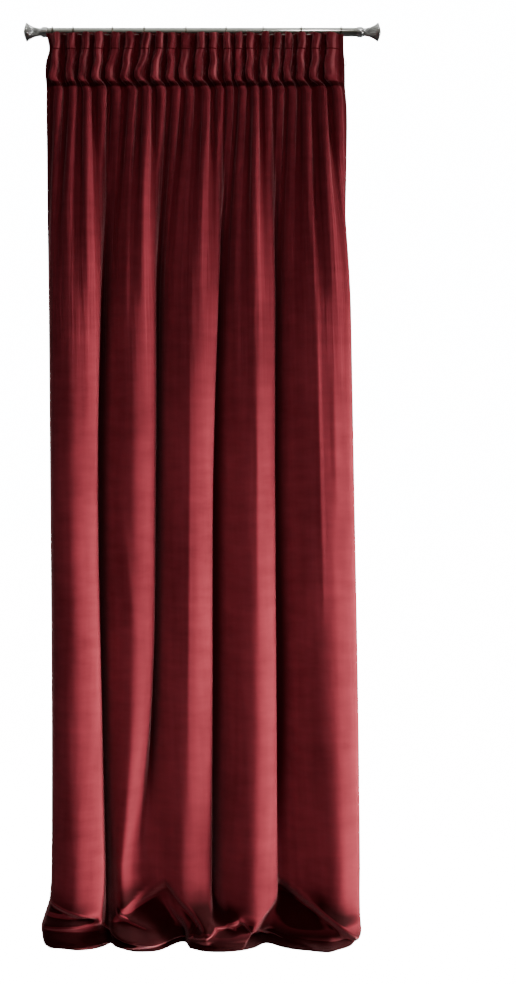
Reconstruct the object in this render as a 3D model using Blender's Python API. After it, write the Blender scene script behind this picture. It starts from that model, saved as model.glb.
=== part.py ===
"""A gathered velvet curtain on a metal rod, from its finials to the hem that breaks on the floor.

Metres, +Z up. The origin is on the rod's axis at its middle, X runs along the rod to the right,
and the room that looks at the curtain is at -Y.
"""

import math

import bmesh
import bpy
import numpy as np
from mathutils import Matrix, Vector

# The cloth as it was cut, and how thick the folded pile stands.
CLOTH_WIDTH = 1.40
CLOTH_LENGTH = 2.70
CLOTH_THICK = 0.002

# Heights, measured from the rod's axis.
CLOTH_TOP = -0.012
FLOOR = -2.585

# The rod, its rings and the hooks.
ROD_RADIUS = 0.0125
ROD_HALF = 0.440
ROD_SIDES = 32
RING_INSIDE = 0.0160
RING_WIRE = 0.0018
EYE_RADIUS = 0.0035
EYE_WIRE = 0.001
HOOK_WIRE = 0.0009
HOOK_ROWS = (0.062, 0.084)
SEAT_GAP = 0.0003

# Across the rod: where each ring hangs, with the cloth's side edges before the first and after the last.
CLOTH_LEFT = -0.4425
PLEATS_LEFT = -0.4325
CLOTH_RIGHT = 0.4020
RING_PLACES = (-0.4270, -0.3680, -0.2560, -0.1655, -0.0465, 0.0680, 0.1735, 0.2820, 0.3955)
SIDE_HEM = 0.014

# The heading: the back of its pleats stands this far before the rod's axis.
HEADING_BACK = 0.0235
PLEAT_DEPTH = 0.024
PLEAT_ROUNDING = 0.40
# The pleats snake a little along the tape: how far aside, and over what length.
PLEAT_SNAKE = (0.0024, 0.074)
TAPE_ROWS = (0.043, 0.080, 0.116)
TAPE_THICK = 0.001
TAPE_GAP = 0.0008
# The tape stands out by this much more where it turns in a hollow, with a gap to the hook there.
TAPE_CORNER = 0.0008

# How far the side edges stray outwards from where they start.
SIDES = (
    # down, left edge outwards, right edge outwards
    (0.000, 0.000, -0.001),
    (0.043, -0.008, -0.001),
    (0.080, 0.001, 0.002),
    (0.125, 0.002, 0.003),
    (0.143, 0.000, 0.003),
    (0.200, 0.000, 0.008),
    (0.350, -0.001, 0.012),
    (0.800, 0.000, 0.016),
)

# How full the pleats stand at each distance down the heading, how far their crests have gone from
# the top's places to the tips', and from there to the places below the heading.
HEADING = (
    # down, fullness, towards the tips, towards the places below
    (0.000, 1.12, 0.00, 0.0),
    (0.022, 1.00, 0.10, 0.0),
    (0.043, 0.66, 0.25, 0.0),
    (0.080, 0.92, 0.60, 0.0),
    (0.116, 1.15, 0.95, 0.0),
    (0.132, 1.12, 1.00, 0.1),
    (0.141, 0.55, 1.00, 0.6),
    (0.160, 0.80, 1.00, 1.0),
)

# One row for each pleat, left to right: where its crest stands across the rod at the top, at its
# tip and below the heading, its depth against the usual, and how far down it dies away.
PLEATS = (
    # top, tip, below, depth, run
    (-0.414, -0.425, -0.405, 1.00, 0.45),
    (-0.371, -0.374, -0.363, 0.90, 0.60),
    (-0.328, -0.346, -0.324, 0.95, 0.75),
    (-0.294, -0.303, -0.280, 1.15, 0.50),
    (-0.243, -0.269, -0.240, 0.95, 0.35),
    (-0.206, -0.223, -0.194, 1.00, 0.42),
    (-0.155, -0.183, -0.152, 1.05, 0.70),
    (-0.120, -0.140, -0.112, 1.15, 0.55),
    (-0.089, -0.092, -0.069, 1.00, 0.40),
    (-0.049, -0.061, -0.032, 0.90, 0.32),
    (-0.004, -0.015, 0.016, 1.10, 0.45),
    (0.028, 0.028, 0.053, 1.15, 0.65),
    (0.068, 0.071, 0.082, 0.85, 0.75),
    (0.102, 0.099, 0.118, 0.95, 0.50),
    (0.133, 0.130, 0.153, 1.05, 0.80),
    (0.179, 0.170, 0.190, 1.00, 0.45),
    (0.213, 0.204, 0.224, 0.95, 0.70),
    (0.242, 0.236, 0.259, 0.90, 0.40),
    (0.279, 0.273, 0.299, 1.10, 0.55),
    (0.321, 0.310, 0.344, 1.05, 0.72),
    (0.361, 0.353, 0.384, 1.10, 0.60),
)
PLEAT_COUNT = len(PLEATS)

# The five large folds that the pleats run into. Each row is a fold, left to right, and each place
# is measured across the rod: its valley, the foot of its face, its shoulder and its crest.
FOLDS = {
    # distance down: rows of valley, foot, shoulder, crest, depth, reach of the valley
    0.466: (
        (-0.440, -0.428, -0.370, -0.283, 0.060, 0.00),
        (-0.280, -0.243, -0.188, -0.137, 0.055, 0.00),
        (-0.131, -0.092, -0.012, 0.053, 0.058, 0.00),
        (0.046, 0.089, 0.154, 0.203, 0.055, 0.00),
        (0.201, 0.240, 0.340, 0.412, 0.060, 0.00),
    ),
    1.240: (
        (-0.434, -0.420, -0.376, -0.298, 0.086, 0.00),
        (-0.301, -0.256, -0.182, -0.136, 0.082, 0.00),
        (-0.136, -0.100, -0.020, 0.027, 0.088, 0.00),
        (0.022, 0.074, 0.164, 0.201, 0.084, 0.00),
        (0.198, 0.246, 0.366, 0.426, 0.092, 0.00),
    ),
    1.940: (
        (-0.429, -0.414, -0.362, -0.287, 0.090, 0.00),
        (-0.287, -0.254, -0.190, -0.152, 0.080, 0.00),
        (-0.144, -0.114, -0.024, 0.024, 0.086, 0.10),
        (0.024, 0.074, 0.164, 0.204, 0.092, 0.00),
        (0.206, 0.266, 0.390, 0.438, 0.094, 0.00),
    ),
    2.350: (
        (-0.429, -0.418, -0.350, -0.280, 0.090, 0.00),
        (-0.274, -0.250, -0.228, -0.196, 0.068, 0.00),
        (-0.162, -0.132, -0.050, 0.021, 0.078, 0.58),
        (0.024, 0.062, 0.156, 0.206, 0.092, 0.00),
        (0.214, 0.278, 0.398, 0.440, 0.094, 0.34),
    ),
}
# How far forward the foot, shoulder and crest stand, as shares of the fold's depth.
FOLD_REACH = (0.60, 1.0, 0.76)
# The right side edge turns back behind the last crest.
SIDE_TURN = (-0.012, 0.30)
# The valleys hang this far behind the heading's back.
FOLDS_BACK = 0.030
# The pleats give way to the large folds between these distances down.
FOLDS_BEGIN = 0.150
FOLDS_FULL = 0.800

# The same places where the hem lies on the floor, each with its reach before the heading's back.
TOE = (
    # across, forward of valley, foot, shoulder, crest
    ((-0.444, 0.034), (-0.432, 0.078), (-0.354, 0.106), (-0.292, 0.084)),
    ((-0.258, 0.044), (-0.238, 0.082), (-0.214, 0.110), (-0.178, 0.124)),
    ((-0.122, 0.112), (-0.074, 0.046), (-0.032, 0.094), (0.008, 0.122)),
    ((0.048, 0.128), (0.094, 0.120), (0.150, 0.088), (0.190, 0.046)),
    ((0.236, 0.088), (0.320, 0.120), (0.392, 0.104), (0.426, 0.068)),
)
TOE_SIDE = (0.436, 0.020)
# The outline on the floor spreads to the sides by this much for each metre that it goes forward.
TOE_SPREAD = 0.9

# How the last of the cloth goes down, swells forward over the floor and tucks its hem in under itself.
BREAK = (
    # down, height over the floor, share of the toe's outline, forward, sideways, the outline's depth
    (2.350, 0.2260, 0.00, 0.000, 0.000, 1.00),
    (2.420, 0.1570, 0.10, 0.004, 0.000, 1.00),
    (2.470, 0.1090, 0.32, 0.012, 0.004, 1.00),
    (2.505, 0.0760, 0.66, 0.021, 0.007, 1.00),
    (2.535, 0.0480, 0.94, 0.020, 0.009, 1.00),
    (2.560, 0.0260, 1.00, 0.008, 0.007, 1.00),
    (2.580, 0.0105, 1.00, -0.006, 0.004, 1.00),
    (2.600, 0.0030, 1.00, -0.024, 0.000, 0.98),
    (2.625, 0.0014, 1.00, -0.034, 0.000, 0.80),
    (2.660, 0.0014, 1.00, -0.040, 0.000, 0.60),
    (CLOTH_LENGTH, 0.0014, 1.00, -0.045, 0.000, 0.35),
)

# Dents and rolls where the cloth buckles above the floor: their place across the cloth's width and
# down it, half width and half height, and how far they push forward.
BUCKLES = (
    # across, down, half width, half height, forward
    (0.150, 2.500, 0.022, 0.016, -0.016),
    (0.070, 2.540, 0.100, 0.014, 0.012),
    (0.240, 2.535, 0.050, 0.016, 0.012),
    (0.405, 2.480, 0.016, 0.036, 0.010),
    (0.500, 2.545, 0.026, 0.020, 0.010),
    (0.575, 2.520, 0.030, 0.014, -0.018),
    (0.660, 2.505, 0.026, 0.018, -0.022),
    (0.715, 2.530, 0.022, 0.018, 0.014),
    (0.860, 2.480, 0.022, 0.050, 0.010),
)

# Arches under which the cloth turns in: the crisp edge's top, how fast it falls to each side for each
# metre across, how far the cloth goes back behind it and over what length, and where it ends.
ARCHES = (
    # across, down, slope to the left, slope to the right, back, over, end, closing
    (-0.010, 2.424, 0.50, 0.26, 0.044, 0.026, 2.575, 0.0),
    (0.400, 2.386, 0.56, 0.90, 0.044, 0.040, 2.575, 0.26),
    (0.640, 2.488, 0.16, 0.60, 0.034, 0.026, 2.600, 0.0),
    (0.772, 2.380, 1.00, 0.62, 0.064, 0.050, 2.600, 0.0),
)

# Rows of points down the cloth: in the pleats, as they die away, in the large folds and in the break.
HEADING_ROWS = (0.0, 0.022, 0.043, 0.080, 0.116, 0.132, 0.142, 0.165, 0.230)
FADING_ROWS = (0.330, 0.440, 0.600)
FOLD_ROWS = (0.780, 1.050, 1.350, 1.650, 1.950, 2.200, 2.350)
BREAK_ROWS = (2.392, 2.425, 2.450, 2.475, 2.500, 2.523, 2.546, 2.568, 2.588, 2.612, 2.650, CLOTH_LENGTH)
HEADING_PER_PLEAT = 6
FADING_PER_PLEAT = 4
FOLD_STEPS = (8, 5)
BREAK_STEPS = (11, 6)

VELVET = (0.20, 0.012, 0.022)
STEEL = (0.62, 0.62, 0.60)
CHROME = (0.75, 0.75, 0.76)
TAPE_WHITE = (0.80, 0.78, 0.74)

DENSE = 600


def spline(places, values, at):
    """A smooth curve through values, which stand at rising places, read at the places in at."""
    places, values, at = (np.asarray(x, float) for x in (places, values, at))
    slopes = np.gradient(values, places, axis=0)
    i = np.clip(np.searchsorted(places, at, side="right") - 1, 0, len(places) - 2)
    gap = places[i + 1] - places[i]
    t = np.clip((at - places[i]) / gap, 0, 1)
    if values.ndim > 1:
        gap, t = gap[:, None], t[:, None]
    start = (1 + 2 * t) * (1 - t) ** 2 * values[i] + t * (1 - t) ** 2 * gap * slopes[i]
    end = t * t * (3 - 2 * t) * values[i + 1] + t * t * (t - 1) * gap * slopes[i + 1]
    return start + end


def ease(value, start, end):
    """0 before start, 1 after end, and smooth between them."""
    t = np.clip((value - start) / (end - start), 0, 1)
    return t * t * (3 - 2 * t)


def length_along(points):
    steps = np.linalg.norm(np.diff(points, axis=0), axis=1)
    return np.concatenate([[0], np.cumsum(steps)])


def fold_knots(down):
    """The places across and forward that the large folds pass through at a distance down."""
    levels = sorted(FOLDS)
    rows = spline(levels, [np.ravel(FOLDS[level]) for level in levels], [down])[0].reshape(-1, 6)
    knots = [(x, row[4] * reach) for row in rows for x, reach in zip(row[:4], (row[5], *FOLD_REACH))]
    inset, reach = SIDE_TURN
    knots.append((rows[-1][3] + inset, rows[-1][4] * reach))
    return np.array(knots)


def through(knots, at):
    return spline(length_along(knots), knots, at * length_along(knots)[-1])


def fold_section(down):
    """The large folds' section: points (across, forward), with each point's share of the cloth."""
    knots = fold_knots(np.clip(down, min(FOLDS), max(FOLDS)))
    at = np.linspace(0, 1, DENSE)
    low, high = 0.5, 2.0
    for _ in range(24):
        deeper = (low + high) / 2
        points = through(knots * (1, deeper), at)
        if length_along(points)[-1] < CLOTH_WIDTH:
            low = deeper
        else:
            high = deeper
    points[:, 1] -= FOLDS_BACK
    share = length_along(points) / length_along(points)[-1]
    return points, share


def corner_shares(down):
    """Where the valleys and crests of the large folds lie, by turns, as shares of the cloth."""
    knots = fold_knots(np.clip(down, min(FOLDS), max(FOLDS)))
    along = length_along(knots) / length_along(knots)[-1]
    _, share = fold_section(down)
    corners = np.interp(along, np.linspace(0, 1, DENSE), share)
    return [corners[k] for k in range(len(corners)) if k % 4 in (0, 3)]


def off_returns(across_cloth, down):
    """1 on the folds' faces and 0 where the cloth turns back from a crest to the next valley."""
    corners = corner_shares(down)
    off = np.ones(len(across_cloth))
    for crest, valley in zip(corners[1::2], corners[2::2]):
        beyond = np.abs(across_cloth - (crest + valley) / 2) - (valley - crest) / 2
        off *= ease(beyond, 0.0, 0.03)
    return off


def toe_section():
    """The outline of the hem on the floor, with the same shares of the cloth as the last folds."""
    knots = np.array([place for row in TOE for place in row] + [TOE_SIDE])
    wall = fold_knots(max(FOLDS))
    steps = length_along(wall) / length_along(wall)[-1]
    return spline(steps, knots, np.linspace(0, 1, DENSE))


def side_shifts(down):
    """How far the left and the right side edge have gone outwards."""
    table = np.array(SIDES)
    return spline(table[:, 0], table[:, 1:], [min(down, table[-1][0])])[0]


def pleat_places(down):
    """Across the rod at a distance down: the pleats' valleys and their crests."""
    left, right = side_shifts(down)
    table = np.array(HEADING)
    _, to_tips, to_below = spline(table[:, 0], table[:, 1:], [min(down, table[-1][0])])[0]
    top, tip, below = np.array(PLEATS)[:, :3].T
    crests = (top * (1 - to_tips) + tip * to_tips) * (1 - to_below) + below * to_below
    settled = (top + tip + 2 * below) / 4
    half_way = (crests + settled) / 2
    between = (half_way[1:] + half_way[:-1]) / 2
    return np.concatenate([[PLEATS_LEFT - left], between, [CLOTH_RIGHT + right]]), crests


def pleated_line(across_cloth, down):
    """Each point's place along the heading, its angle in its pleat, the crest's lean and fullness."""
    in_hem = SIDE_HEM / CLOTH_WIDTH
    place = (across_cloth - in_hem) / (1 - in_hem) * PLEAT_COUNT
    which = np.clip(np.floor(place), 0, PLEAT_COUNT - 1).astype(int)
    part_way = np.clip(place - which, 0, 1)
    valleys, crests = pleat_places(down)
    across = valleys[which] + (valleys[which + 1] - valleys[which]) * part_way
    hem = CLOTH_LEFT - side_shifts(down)[0] + (PLEATS_LEFT - CLOTH_LEFT) * across_cloth / in_hem
    across = np.where(place < 0, hem, across)
    lean = (crests - (valleys[1:] + valleys[:-1]) / 2)[which]
    aside, wave = PLEAT_SNAKE
    near_tape = ease(down, 0.0, 0.03) * (1 - ease(down, 0.13, 0.22))
    lean += aside * near_tape * np.sin(2 * math.pi * down / wave + 2.4 * which)
    table = np.array(PLEATS)[which]
    fading = np.exp(-((max(down - FOLDS_BEGIN, 0.0) / table[:, 4]) ** 2) * 2)
    return across, 2 * math.pi * part_way, lean, table[:, 3] * fading


def section(across_cloth, down):
    """Points (across, forward) of the hanging cloth for the shares across_cloth of its width."""
    points, share = fold_section(down)
    folds = np.stack([np.interp(across_cloth, share, points[:, k]) for k in (0, 1)], axis=1)
    across, angle, lean, full = pleated_line(across_cloth, down)
    line = np.stack([across, np.zeros(len(across))], axis=1)
    into_folds = float(ease(down, FOLDS_BEGIN, FOLDS_FULL)) ** 0.75
    base = line * (1 - into_folds) + folds * into_folds
    full = full * (1 - min(1, 2 * into_folds) * (1 - off_returns(across_cloth, down)))
    lean = lean * (1 - into_folds) ** 2
    pitch = (CLOTH_RIGHT - PLEATS_LEFT) / PLEAT_COUNT
    rounding = PLEAT_ROUNDING * pitch / (2 * math.pi) / PLEAT_DEPTH * (1 - into_folds)
    rise = (1 - np.cos(angle)) / 2

    def drawn(depth):
        across_by = full * depth * rounding * np.sin(2 * angle) + np.minimum(full, 1) * lean * rise
        return base + np.stack([across_by, full * depth * rise], axis=1)

    table = np.array(HEADING)
    if down <= table[-1][0]:
        return drawn(PLEAT_DEPTH * spline(table[:, 0], table[:, 1], [down])[0])
    low, high = 0.0, PLEAT_DEPTH * 1.3
    for _ in range(20):
        depth = (low + high) / 2
        if length_along(drawn(depth))[-1] < CLOTH_WIDTH:
            low = depth
        else:
            high = depth
    start = PLEAT_DEPTH * table[-1][1]
    settled = ease(down, table[-1][0], table[-1][0] + 0.12)
    return drawn(start + (depth - start) * settled)


def buckled(across_cloth, down):
    """How far the dents and rolls of the break push each point forward."""
    push = np.zeros(len(across_cloth))
    for across, low, half_width, half_height, forward in BUCKLES:
        reach = ((across_cloth - across) / half_width) ** 2 + ((down - low) / half_height) ** 2
        push += forward * np.exp(-reach)
    return push


def arched(across_cloth, down):
    """How far the cloth is turned in under the arches, each with a crisp edge."""
    push = np.zeros(len(across_cloth))
    for across, top, to_left, to_right, back, over, end, closing in ARCHES:
        aside = (across_cloth - across) * CLOTH_WIDTH
        below = down - top - np.where(aside < 0, -to_left, to_right) * aside
        lip = end - closing * np.abs(aside)
        push -= back * ease(below, 0.0, over) * (1 - ease(down - lip, -0.035, 0.0))
    return push


def cloth_row(across_cloth, down):
    """Points of the cloth's middle surface at a distance down it."""
    if down <= BREAK[0][0]:
        flat = section(across_cloth, down)
        height = np.full(len(flat), CLOTH_TOP - down)
    else:
        points, share = fold_section(down)
        table = np.array(BREAK)
        over_floor, toe_share, forward, sideways, depth = spline(table[:, 0], table[:, 1:], [down])[0]
        toe = toe_section() * (1 + TOE_SPREAD * forward, depth)
        mixed = (points * (1 - toe_share) + toe * toe_share) * (1 + sideways, 1)
        flat = np.stack([np.interp(across_cloth, share, mixed[:, k]) for k in (0, 1)], axis=1)
        flat[:, 1] += forward
        height = np.full(len(flat), FLOOR + max(over_floor, CLOTH_THICK / 2))
    flat[:, 1] += buckled(across_cloth, down) + arched(across_cloth, down)
    return np.stack([flat[:, 0], -HEADING_BACK - flat[:, 1], height], axis=1)


def material(name, colour, roughness, metallic):
    made = bpy.data.materials.new(name)
    made.use_nodes = True
    shader = made.node_tree.nodes["Principled BSDF"]
    shader.inputs["Base Color"].default_value = (*colour, 1)
    shader.inputs["Roughness"].default_value = roughness
    shader.inputs["Metallic"].default_value = metallic
    return made


def add_object(name, mesh, finish):
    made = bpy.data.objects.new(name, mesh)
    if not mesh.materials:
        mesh.materials.append(finish)
    bpy.context.scene.collection.objects.link(made)
    return made


def join_rows(bm, above, below):
    """Faces between two rows of (share, vertex), with any number in each, in step by share."""
    if len(above) == len(below):
        for k in range(len(above) - 1):
            bm.faces.new((above[k][1], below[k][1], below[k + 1][1], above[k + 1][1]))
        return
    i = j = 0
    while i < len(above) - 1 or j < len(below) - 1:
        next_above = above[i + 1][0] if i < len(above) - 1 else 2
        next_below = below[j + 1][0] if j < len(below) - 1 else 2
        if next_above < next_below:
            bm.faces.new((above[i][1], below[j][1], above[i + 1][1]))
            i += 1
        else:
            bm.faces.new((above[i][1], below[j][1], below[j + 1][1]))
            j += 1


def sheet_object(name, rows, thick, finish):
    """One solid from rows of (shares, points): the middle surface, thickened both ways."""
    bm = bmesh.new()
    made_rows = [[(share, bm.verts.new(point)) for share, point in zip(*row)] for row in rows]
    for above, below in zip(made_rows, made_rows[1:]):
        join_rows(bm, above, below)
    mesh = bpy.data.meshes.new(name)
    bm.to_mesh(mesh)
    bm.free()
    mesh.shade_smooth()
    made = add_object(name, mesh, finish)
    solid = made.modifiers.new("thickness", "SOLIDIFY")
    solid.thickness = thick
    solid.offset = 0
    solid.use_rim = True
    return made


def pleated_shares(per_pleat):
    return np.linspace(SIDE_HEM / CLOTH_WIDTH, 1, PLEAT_COUNT * per_pleat + 1)


def fold_shares(down, steps):
    """Shares of the cloth that crowd to the crests and valleys of the large folds."""
    on_face, on_return = steps
    corners = corner_shares(down)
    shares = [0.0]
    for k, (start, end) in enumerate(zip(corners, corners[1:])):
        count = on_return if k % 2 else on_face
        turns = np.linspace(0, math.pi, count + 1)[1:]
        even = turns / math.pi
        shares += list(start + (end - start) * (0.5 * even + 0.25 * (1 - np.cos(turns))))
    return np.array(shares)


def with_corners(shares, down):
    """The same shares, with those nearest to the folds' valleys and crests moved onto them."""
    moved = shares.copy()
    for corner in corner_shares(down)[1:-1]:
        moved[np.argmin(np.abs(moved - corner))] = corner
    return moved


def panel(finish):
    pleated = pleated_shares(HEADING_PER_PLEAT)
    heading = np.concatenate([[0, pleated[0] / 2], pleated])
    fading = np.concatenate([[0], pleated_shares(FADING_PER_PLEAT)])
    rows = [(heading, down) for down in HEADING_ROWS]
    rows += [(fading, down) for down in FADING_ROWS[:-1]]
    rows.append((with_corners(fading, FADING_ROWS[-1]), FADING_ROWS[-1]))
    rows += [(fold_shares(down, FOLD_STEPS), down) for down in FOLD_ROWS]
    rows += [(fold_shares(down, BREAK_STEPS), down) for down in BREAK_ROWS]
    rows = [(shares, cloth_row(shares, down)) for shares, down in rows]
    return sheet_object("curtain_panel", rows, CLOTH_THICK, finish)


def behind_panel(shares, down, behind):
    """A row that lies behind the panel's own facets at a distance down, square to them."""
    below = next(k for k in range(1, len(HEADING_ROWS)) if HEADING_ROWS[k] >= down)
    start, end = HEADING_ROWS[below - 1], HEADING_ROWS[below]
    upper, lower = cloth_row(shares, start), cloth_row(shares, end)
    row = upper + (lower - upper) * (down - start) / (end - start)
    steps = np.diff(row, axis=0)
    sides = []
    for along in (np.concatenate([steps[:1], steps]), np.concatenate([steps, steps[-1:]])):
        side = np.cross(lower - upper, along)
        sides.append(side / np.linalg.norm(side, axis=1)[:, None])
    middle = sides[0] + sides[1]
    middle /= np.linalg.norm(middle, axis=1)[:, None]
    square = np.maximum((middle * sides[0]).sum(axis=1), 0.6)
    return row - middle * (behind / square)[:, None]


def heading_tape(finish):
    """The gathered tape sewn behind the heading: it lies in the cloth's own pleats."""
    shares = pleated_shares(HEADING_PER_PLEAT)
    behind = CLOTH_THICK / 2 + TAPE_GAP + TAPE_THICK / 2
    rows = [(shares, behind_panel(shares, down, behind)) for down in TAPE_ROWS]
    return sheet_object("heading_tape", rows, TAPE_THICK, finish)


def tube_mesh(name, points, radius, sides_resolution):
    """A closed tube along points, as a mesh."""
    curve = bpy.data.curves.new(name, "CURVE")
    curve.dimensions = "3D"
    curve.bevel_depth = radius
    curve.bevel_resolution = sides_resolution
    curve.use_fill_caps = True
    run = curve.splines.new("POLY")
    run.points.add(len(points) - 1)
    for knot, point in zip(run.points, points):
        knot.co = (*point, 1)
    holder = bpy.data.objects.new(name, curve)
    mesh = bpy.data.meshes.new_from_object(holder)
    bpy.data.objects.remove(holder)
    bpy.data.curves.remove(curve)
    return mesh


def rod(finish):
    bm = bmesh.new()
    turned = Matrix.Rotation(math.pi / 2, 4, "Y")
    bmesh.ops.create_cone(
        bm, cap_ends=True, segments=ROD_SIDES, radius1=ROD_RADIUS, radius2=ROD_RADIUS,
        depth=2 * ROD_HALF, matrix=turned,
    )
    mesh = bpy.data.meshes.new("rod")
    bm.to_mesh(mesh)
    bm.free()
    mesh.shade_smooth()
    mesh.set_sharp_from_angle(angle=math.radians(40))
    return add_object("rod", mesh, finish)


# The finial's outline from the rod's end outwards.
FINIAL = (
    # out, radius
    (0.000, 0.0130),
    (0.002, 0.0148),
    (0.015, 0.0148),
    (0.018, 0.0118),
    (0.025, 0.0115),
    (0.036, 0.0138),
    (0.046, 0.0178),
    (0.055, 0.0228),
    (0.058, 0.0260),
    (0.061, 0.0262),
    (0.066, 0.0150),
    (0.069, 0.0000),
)
FINIAL_SIDES = 20
# Every other side of the flare is a groove: where the grooves run, and how deep as a share of the radius.
GROOVES = (0.024, 0.057, 0.09)


def finial(name, side, finish):
    """A flared end piece, turned about the rod's axis and seated on the rod's end."""
    bm = bmesh.new()
    outline = [bm.verts.new((0, 0, 0))]
    outline += [bm.verts.new((out, 0, radius)) for out, radius in FINIAL]
    edges = [bm.edges.new(pair) for pair in zip(outline, outline[1:])]
    bmesh.ops.spin(
        bm, geom=outline + edges, cent=(0, 0, 0), axis=(1, 0, 0),
        angle=2 * math.pi, steps=FINIAL_SIDES, use_duplicate=False,
    )
    bmesh.ops.remove_doubles(bm, verts=bm.verts, dist=1e-6)
    start, end, depth = GROOVES
    for vert in bm.verts:
        side_number = round(math.atan2(vert.co.y, vert.co.z) / (2 * math.pi / FINIAL_SIDES))
        if start < vert.co.x < end and side_number % 2:
            vert.co.yz *= 1 - depth
    place = Matrix.Translation((side * (ROD_HALF + SEAT_GAP), 0, 0)) @ Matrix.Scale(side, 4, (1, 0, 0))
    bmesh.ops.transform(bm, matrix=place, verts=bm.verts)
    bmesh.ops.recalc_face_normals(bm, faces=bm.faces)
    mesh = bpy.data.meshes.new(name)
    bm.to_mesh(mesh)
    bm.free()
    mesh.shade_smooth()
    mesh.set_sharp_from_angle(angle=math.radians(40))
    return add_object(name, mesh, finish)


def torus(bm, centre, turn, radius, wire, around, sides):
    """A ring of wire about the centre; turn carries its axis from Z."""
    rim = [Vector((radius + wire * math.cos(a), 0, wire * math.sin(a)))
           for a in np.linspace(0, 2 * math.pi, sides, endpoint=False)]
    loops = []
    for step in range(around):
        spun = Matrix.Rotation(2 * math.pi * step / around, 4, "Z")
        loops.append([bm.verts.new(Matrix.Translation(centre) @ turn @ spun @ p) for p in rim])
    for first, second in zip(loops, loops[1:] + loops[:1]):
        for k in range(sides):
            after = (k + 1) % sides
            bm.faces.new((first[k], second[k], second[after], first[after]))


RING_DROP = ROD_RADIUS + SEAT_GAP - RING_INSIDE
RING_LOWEST = RING_DROP - RING_INSIDE - 2 * RING_WIRE
EYE_CENTRE = RING_LOWEST - EYE_RADIUS + 0.5 * EYE_WIRE


def torus_object(name, centre, turn, radius, wire, around, sides, finish):
    bm = bmesh.new()
    torus(bm, centre, turn, radius, wire, around, sides)
    bmesh.ops.recalc_face_normals(bm, faces=bm.faces)
    mesh = bpy.data.meshes.new(name)
    bm.to_mesh(mesh)
    bm.free()
    mesh.shade_smooth()
    return add_object(name, mesh, finish)


def ring_mesh(finish):
    """A wire ring with a small eye under it, joined into one body."""
    across = Matrix.Rotation(math.pi / 2, 4, "Y")
    facing = Matrix.Rotation(math.pi / 2, 4, "X")
    ring = torus_object("ring", (0, 0, RING_DROP), across, RING_INSIDE + RING_WIRE, RING_WIRE, 16, 5, finish)
    eye = torus_object("eye", (0, 0, EYE_CENTRE), facing, EYE_RADIUS, EYE_WIRE, 8, 4, finish)
    union = ring.modifiers.new("eye", "BOOLEAN")
    union.operation = "UNION"
    union.object = eye
    bpy.context.view_layer.update()
    joined = bpy.data.meshes.new_from_object(ring.evaluated_get(bpy.context.evaluated_depsgraph_get()))
    bpy.data.objects.remove(ring)
    bpy.data.objects.remove(eye)
    return joined


def tape_valley(place, down):
    """Across the rod, where the tape lies furthest back beside a ring."""
    valleys, _ = pleat_places(down)
    near, _ = pleat_places(TAPE_ROWS[0])
    return valleys[np.argmin(np.abs(near - place))]


def hook(name, place, finish):
    """A bent wire: over a ring's eye, aside to the nearest hollow of the tape and down along it."""
    hang = EYE_CENTRE - EYE_RADIUS + EYE_WIRE + SEAT_GAP + HOOK_WIRE
    lie = -HEADING_BACK + CLOTH_THICK / 2 + TAPE_GAP + TAPE_THICK + TAPE_CORNER + HOOK_WIRE
    high, low = HOOK_ROWS
    upper, lower = tape_valley(place, high), tape_valley(place, low)
    path = (
        (place, 0.0050, hang - 0.0050),
        (place, 0.0042, hang - 0.0010),
        (place, 0.0018, hang + 0.0002),
        (place, -0.0018, hang + 0.0002),
        (place, -0.0045, hang - 0.0016),
        (upper, lie, CLOTH_TOP - high),
        (lower, lie, CLOTH_TOP - low),
        (lower + 0.0022, lie + 0.0010, CLOTH_TOP - low - 0.0035),
        (lower + 0.0044, lie + 0.0022, CLOTH_TOP - low),
        (upper + 0.0044, lie + 0.0022, CLOTH_TOP - low + 0.0110),
    )
    return add_object(name, tube_mesh(name, path, HOOK_WIRE, 1), finish)


def main():
    for old in list(bpy.data.objects):
        bpy.data.objects.remove(old)
    velvet = material("velvet", VELVET, 0.85, 0)
    steel = material("steel", STEEL, 0.3, 1)
    chrome = material("chrome", CHROME, 0.15, 1)
    white = material("tape", TAPE_WHITE, 0.8, 0)
    panel(velvet)
    heading_tape(white)
    rod(steel)
    finial("finial_left", -1, chrome)
    finial("finial_right", 1, chrome)
    ring = ring_mesh(chrome)
    for number, place in enumerate(RING_PLACES, start=1):
        add_object(f"ring_{number}", ring, chrome).location.x = place
        hook(f"hook_{number}", place, chrome)


main()
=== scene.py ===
# %% [markdown]
# # A gathered velvet curtain on its rod
#
# A pencil-pleat curtain is one flat piece of velvet. A tape behind its top draws it up into small
# pleats, and hooks hang the tape from rings on a rod. Below the tape the small pleats run together
# into a few deep folds, and the last of the cloth breaks on the floor.
#
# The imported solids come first. They fix every size and place, so each finer piece below is made in
# their frame and needs no fitting.

# %% Load the solids
import math

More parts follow.
